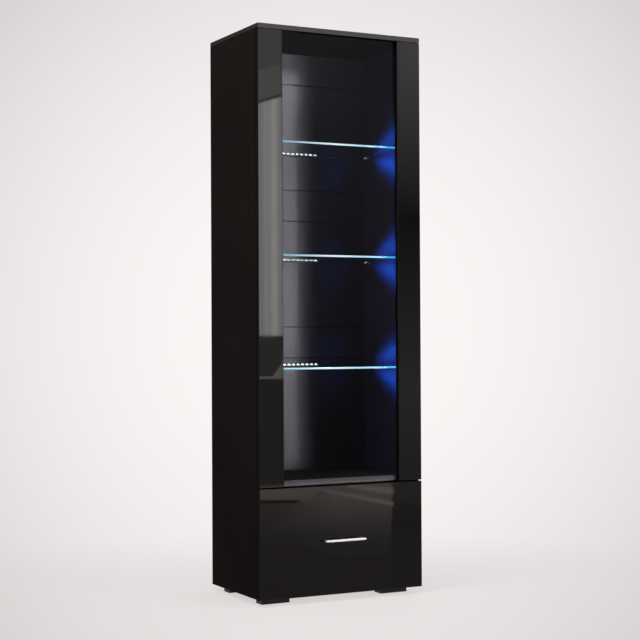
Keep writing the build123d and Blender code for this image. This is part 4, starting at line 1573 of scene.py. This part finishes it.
            # The board is so dark that it takes a strong throw of light to show on it.
            over, under = (560, 950) if level == "upper" else (700, 740)
            for side, start, end, flat, watts in (
                ("above", high.z + 4 * MM, high.z + 45 * MM, 0.075, over),
                ("below", low.z - 4 * MM, low.z - 38 * MM, 0.08, under),
            ):
                name, place, aim = f"fan_{level}_{side}", (0.0, 0.165, start), (0.0, -0.02, end)
                made.append(ShelfFan(name, place, aim, watts, "#175cff", flat, only=board))
        return made

    def cards(self) -> None:
        """Stand the cards that the gloss fronts mirror: a dark room with one bright window."""
        y = self.card_y
        room = CardFinish("card_dark_room", "#f4eef8", 0.03, 0.15, (0.4, 2.2))
        window = CardFinish("card_window", "#fffcfb", 3.6, 3.7, (0.9, 1.9), fold=34 * MM)
        wall = CardFinish("card_wall", "#fffaf8", 1.33)
        upper = CardFinish("card_upper_wall", "#fffaf8", 0.98)
        panel = CardFinish("card_lower_panel", "#fffaf4", 0.38)
        under = CardFinish("card_under_panel", "#fff4f2", 0.24)
        side_top = CardFinish("card_side_upper", "#fffaf8", 0.06, 1.0, (1.42, 2.2))
        side_mid = CardFinish("card_side_middle", "#fffaf8", 0.39, 0.06, (0.6, 1.42))
        side_low = CardFinish("card_side_lower", "#fffaf8", 0.24, 0.39, (0.2, 0.6))
        base = CardFinish("card_base", "#fff0ea", 0.31, 0.44, (0.0, 0.12))
        base_side = CardFinish("card_base_side", "#fff4ee", 0.195, 0.3, (0.03, 0.12))
        band = CardFinish("card_low_band", "#fff2e6", 0.9, 1.15, (0.1, 0.17))
        low = CardFinish(
            "card_low_middle", "#fff4ee", 0.52, 0.98, (0.0, 0.12), fade=(0.6, 0.95), rest=0.36
        )
        slot = CardFinish("card_slot", "#fff0ea", 0.1)
        seam = CardFinish("card_seam", "#fff0ea", 0.0)
        beam = CardFinish("card_beam", "#fff6ea", 1.7)
        mat = CardFinish("card_dark_floor", "#fff0ea", 0.31, 0.24, (-2.0, -1.2), along=Axis.Y)
        mat_side = CardFinish("card_floor_side", "#fff0ea", 0.18, 0.21, (-2.0, -1.2), along=Axis.Y)
        patch = CardFinish(
            "card_floor_patch",
            "#fff4ee",
            0.52,
            0.24,
            (-2.0, -1.0),
            along=Axis.Y,
            fade=(0.45, 0.95),
            rest=0.28,
        )
        sheets = [
            ("room", room, -60, [(0.1, 0.0), (1.9, 0.0), (1.9, 2.7), (0.1, 2.7)]),
            ("window", window, 0, [(0.3, 0.865), (0.672, 0.865), (0.672, 1.955), (0.3, 1.834)]),
            ("seam", seam, -1, [(0.3, 1.83), (0.672, 1.95), (0.672, 1.97), (0.3, 1.86)]),
            ("wall", wall, 0, [(0.3, 1.853), (0.672, 1.965), (0.672, 2.104), (0.3, 1.982)]),
            ("upper", upper, 0, [(0.3, 1.982), (0.672, 2.104), (0.672, 2.6), (0.3, 2.6)]),
            ("panel", panel, 0, [(0.3, 0.69), (0.672, 0.69), (0.672, 0.855), (0.3, 0.855)]),
            ("under", under, 0, [(0.3, 0.19), (0.672, 0.19), (0.672, 0.665), (0.3, 0.665)]),
            ("ledge", beam, 0, [(0.5, 0.671), (0.672, 0.669), (0.672, 0.683), (0.5, 0.684)]),
            ("fold", beam, 10, [(0.613, 0.684), (0.672, 0.684), (0.672, 0.83), (0.66, 0.74)]),
            ("side_top", side_top, 0, [(1.272, 1.42), (1.6, 1.42), (1.6, 2.6), (1.272, 2.6)]),
            ("side_mid", side_mid, 0, [(1.272, 0.6), (1.6, 0.6), (1.6, 1.42), (1.272, 1.42)]),
            ("side_low", side_low, 0, [(1.272, 0.19), (1.6, 0.19), (1.6, 0.6), (1.272, 0.6)]),
            ("base", base, 0, [(0.3, 0.0), (1.232, 0.0), (1.232, 0.19), (0.3, 0.19)]),
            ("base_side", base_side, 0, [(1.232, 0.0), (1.7, 0.0), (1.7, 0.19), (1.232, 0.19)]),
            ("low", low, 10, [(0.6, 0.0), (1.232, 0.0), (1.232, 0.185), (0.6, 0.185)]),
            ("band", band, 20, [(0.5, 0.131), (0.8, 0.115), (0.85, 0.185), (0.5, 0.185)]),
            ("slot", slot, 30, [(0.5, 0.116), (0.722, 0.107), (0.735, 0.118), (0.5, 0.131)]),
            ("beam_low", beam, 20, [(0.819, 0.164), (1.231, 0.064), (1.231, 0.082), (0.819, 0.17)]),
            ("beam_high", beam, 20, [(0.98, 0.166), (1.231, 0.118), (1.231, 0.15), (1.0, 0.172)]),
        ]
        # What the satin back mirrors: a dim part and a bright part, in four steps of height.
        steps = ((0.2, 0.69, 0.7), (0.69, 1.6, 1.0), (1.6, 2.12, 0.82), (2.12, 2.7, 1.9))
        for step, (foot, head, share) in enumerate(steps):
            for name, left, right, power in (("case", 0.1, 1.18, 3.6), ("glow", 1.18, 1.58, 16.6)):
                finish = CardFinish(
                    f"card_{name}_{step}", "#f4eef8", 0.03, 0.15, (0.4, 2.2), case=power * share
                )
                spots = [(left, foot), (right, foot), (right, head), (left, head)]
                sheets.append((f"{name}_{step}", finish, -50, spots))
        stood = [
            self.sheet(f"card_{name}", [(x, y + ahead * MM, z) for x, z in spots], finish)
            for name, finish, ahead, spots in sheets
        ]
        far, near = y - 0.05, -0.23
        for name, finish, rise, edge in (
            ("floor", mat, 1.0, [(-0.4, far), (1.7, far), (1.7, near), (-0.4, near)]),
            ("floor_side", mat_side, 2.0, [(1.261, far), (1.7, far), (0.75, near), (0.211, near)]),
            ("patch", patch, 1.5, [(0.45, far), (1.232, far), (1.232, -1.0), (0.45, -1.0)]),
        ):
            stood.append(self.sheet(f"card_{name}", [(x, d, rise * MM) for x, d in edge], finish))
        for card in stood:
            card.visible_camera = False
            card.visible_diffuse = False
            card.visible_shadow = False
            card.visible_volume_scatter = False


def main() -> None:
    """Build the sub-assemblies and the studio in order."""
    logging.basicConfig(level=logging.INFO, format="%(name)s: %(message)s")
    bpy.context.scene.view_settings.view_transform = "Standard"
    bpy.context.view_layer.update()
    for part in (Carcass(), Shelves(), LampBars(), Door(), Drawer(), Fasteners()):
        part.build()
        LOG.info("%s is done", type(part).__name__)
    Studio().build()


if __name__ == "__main__":
    main()
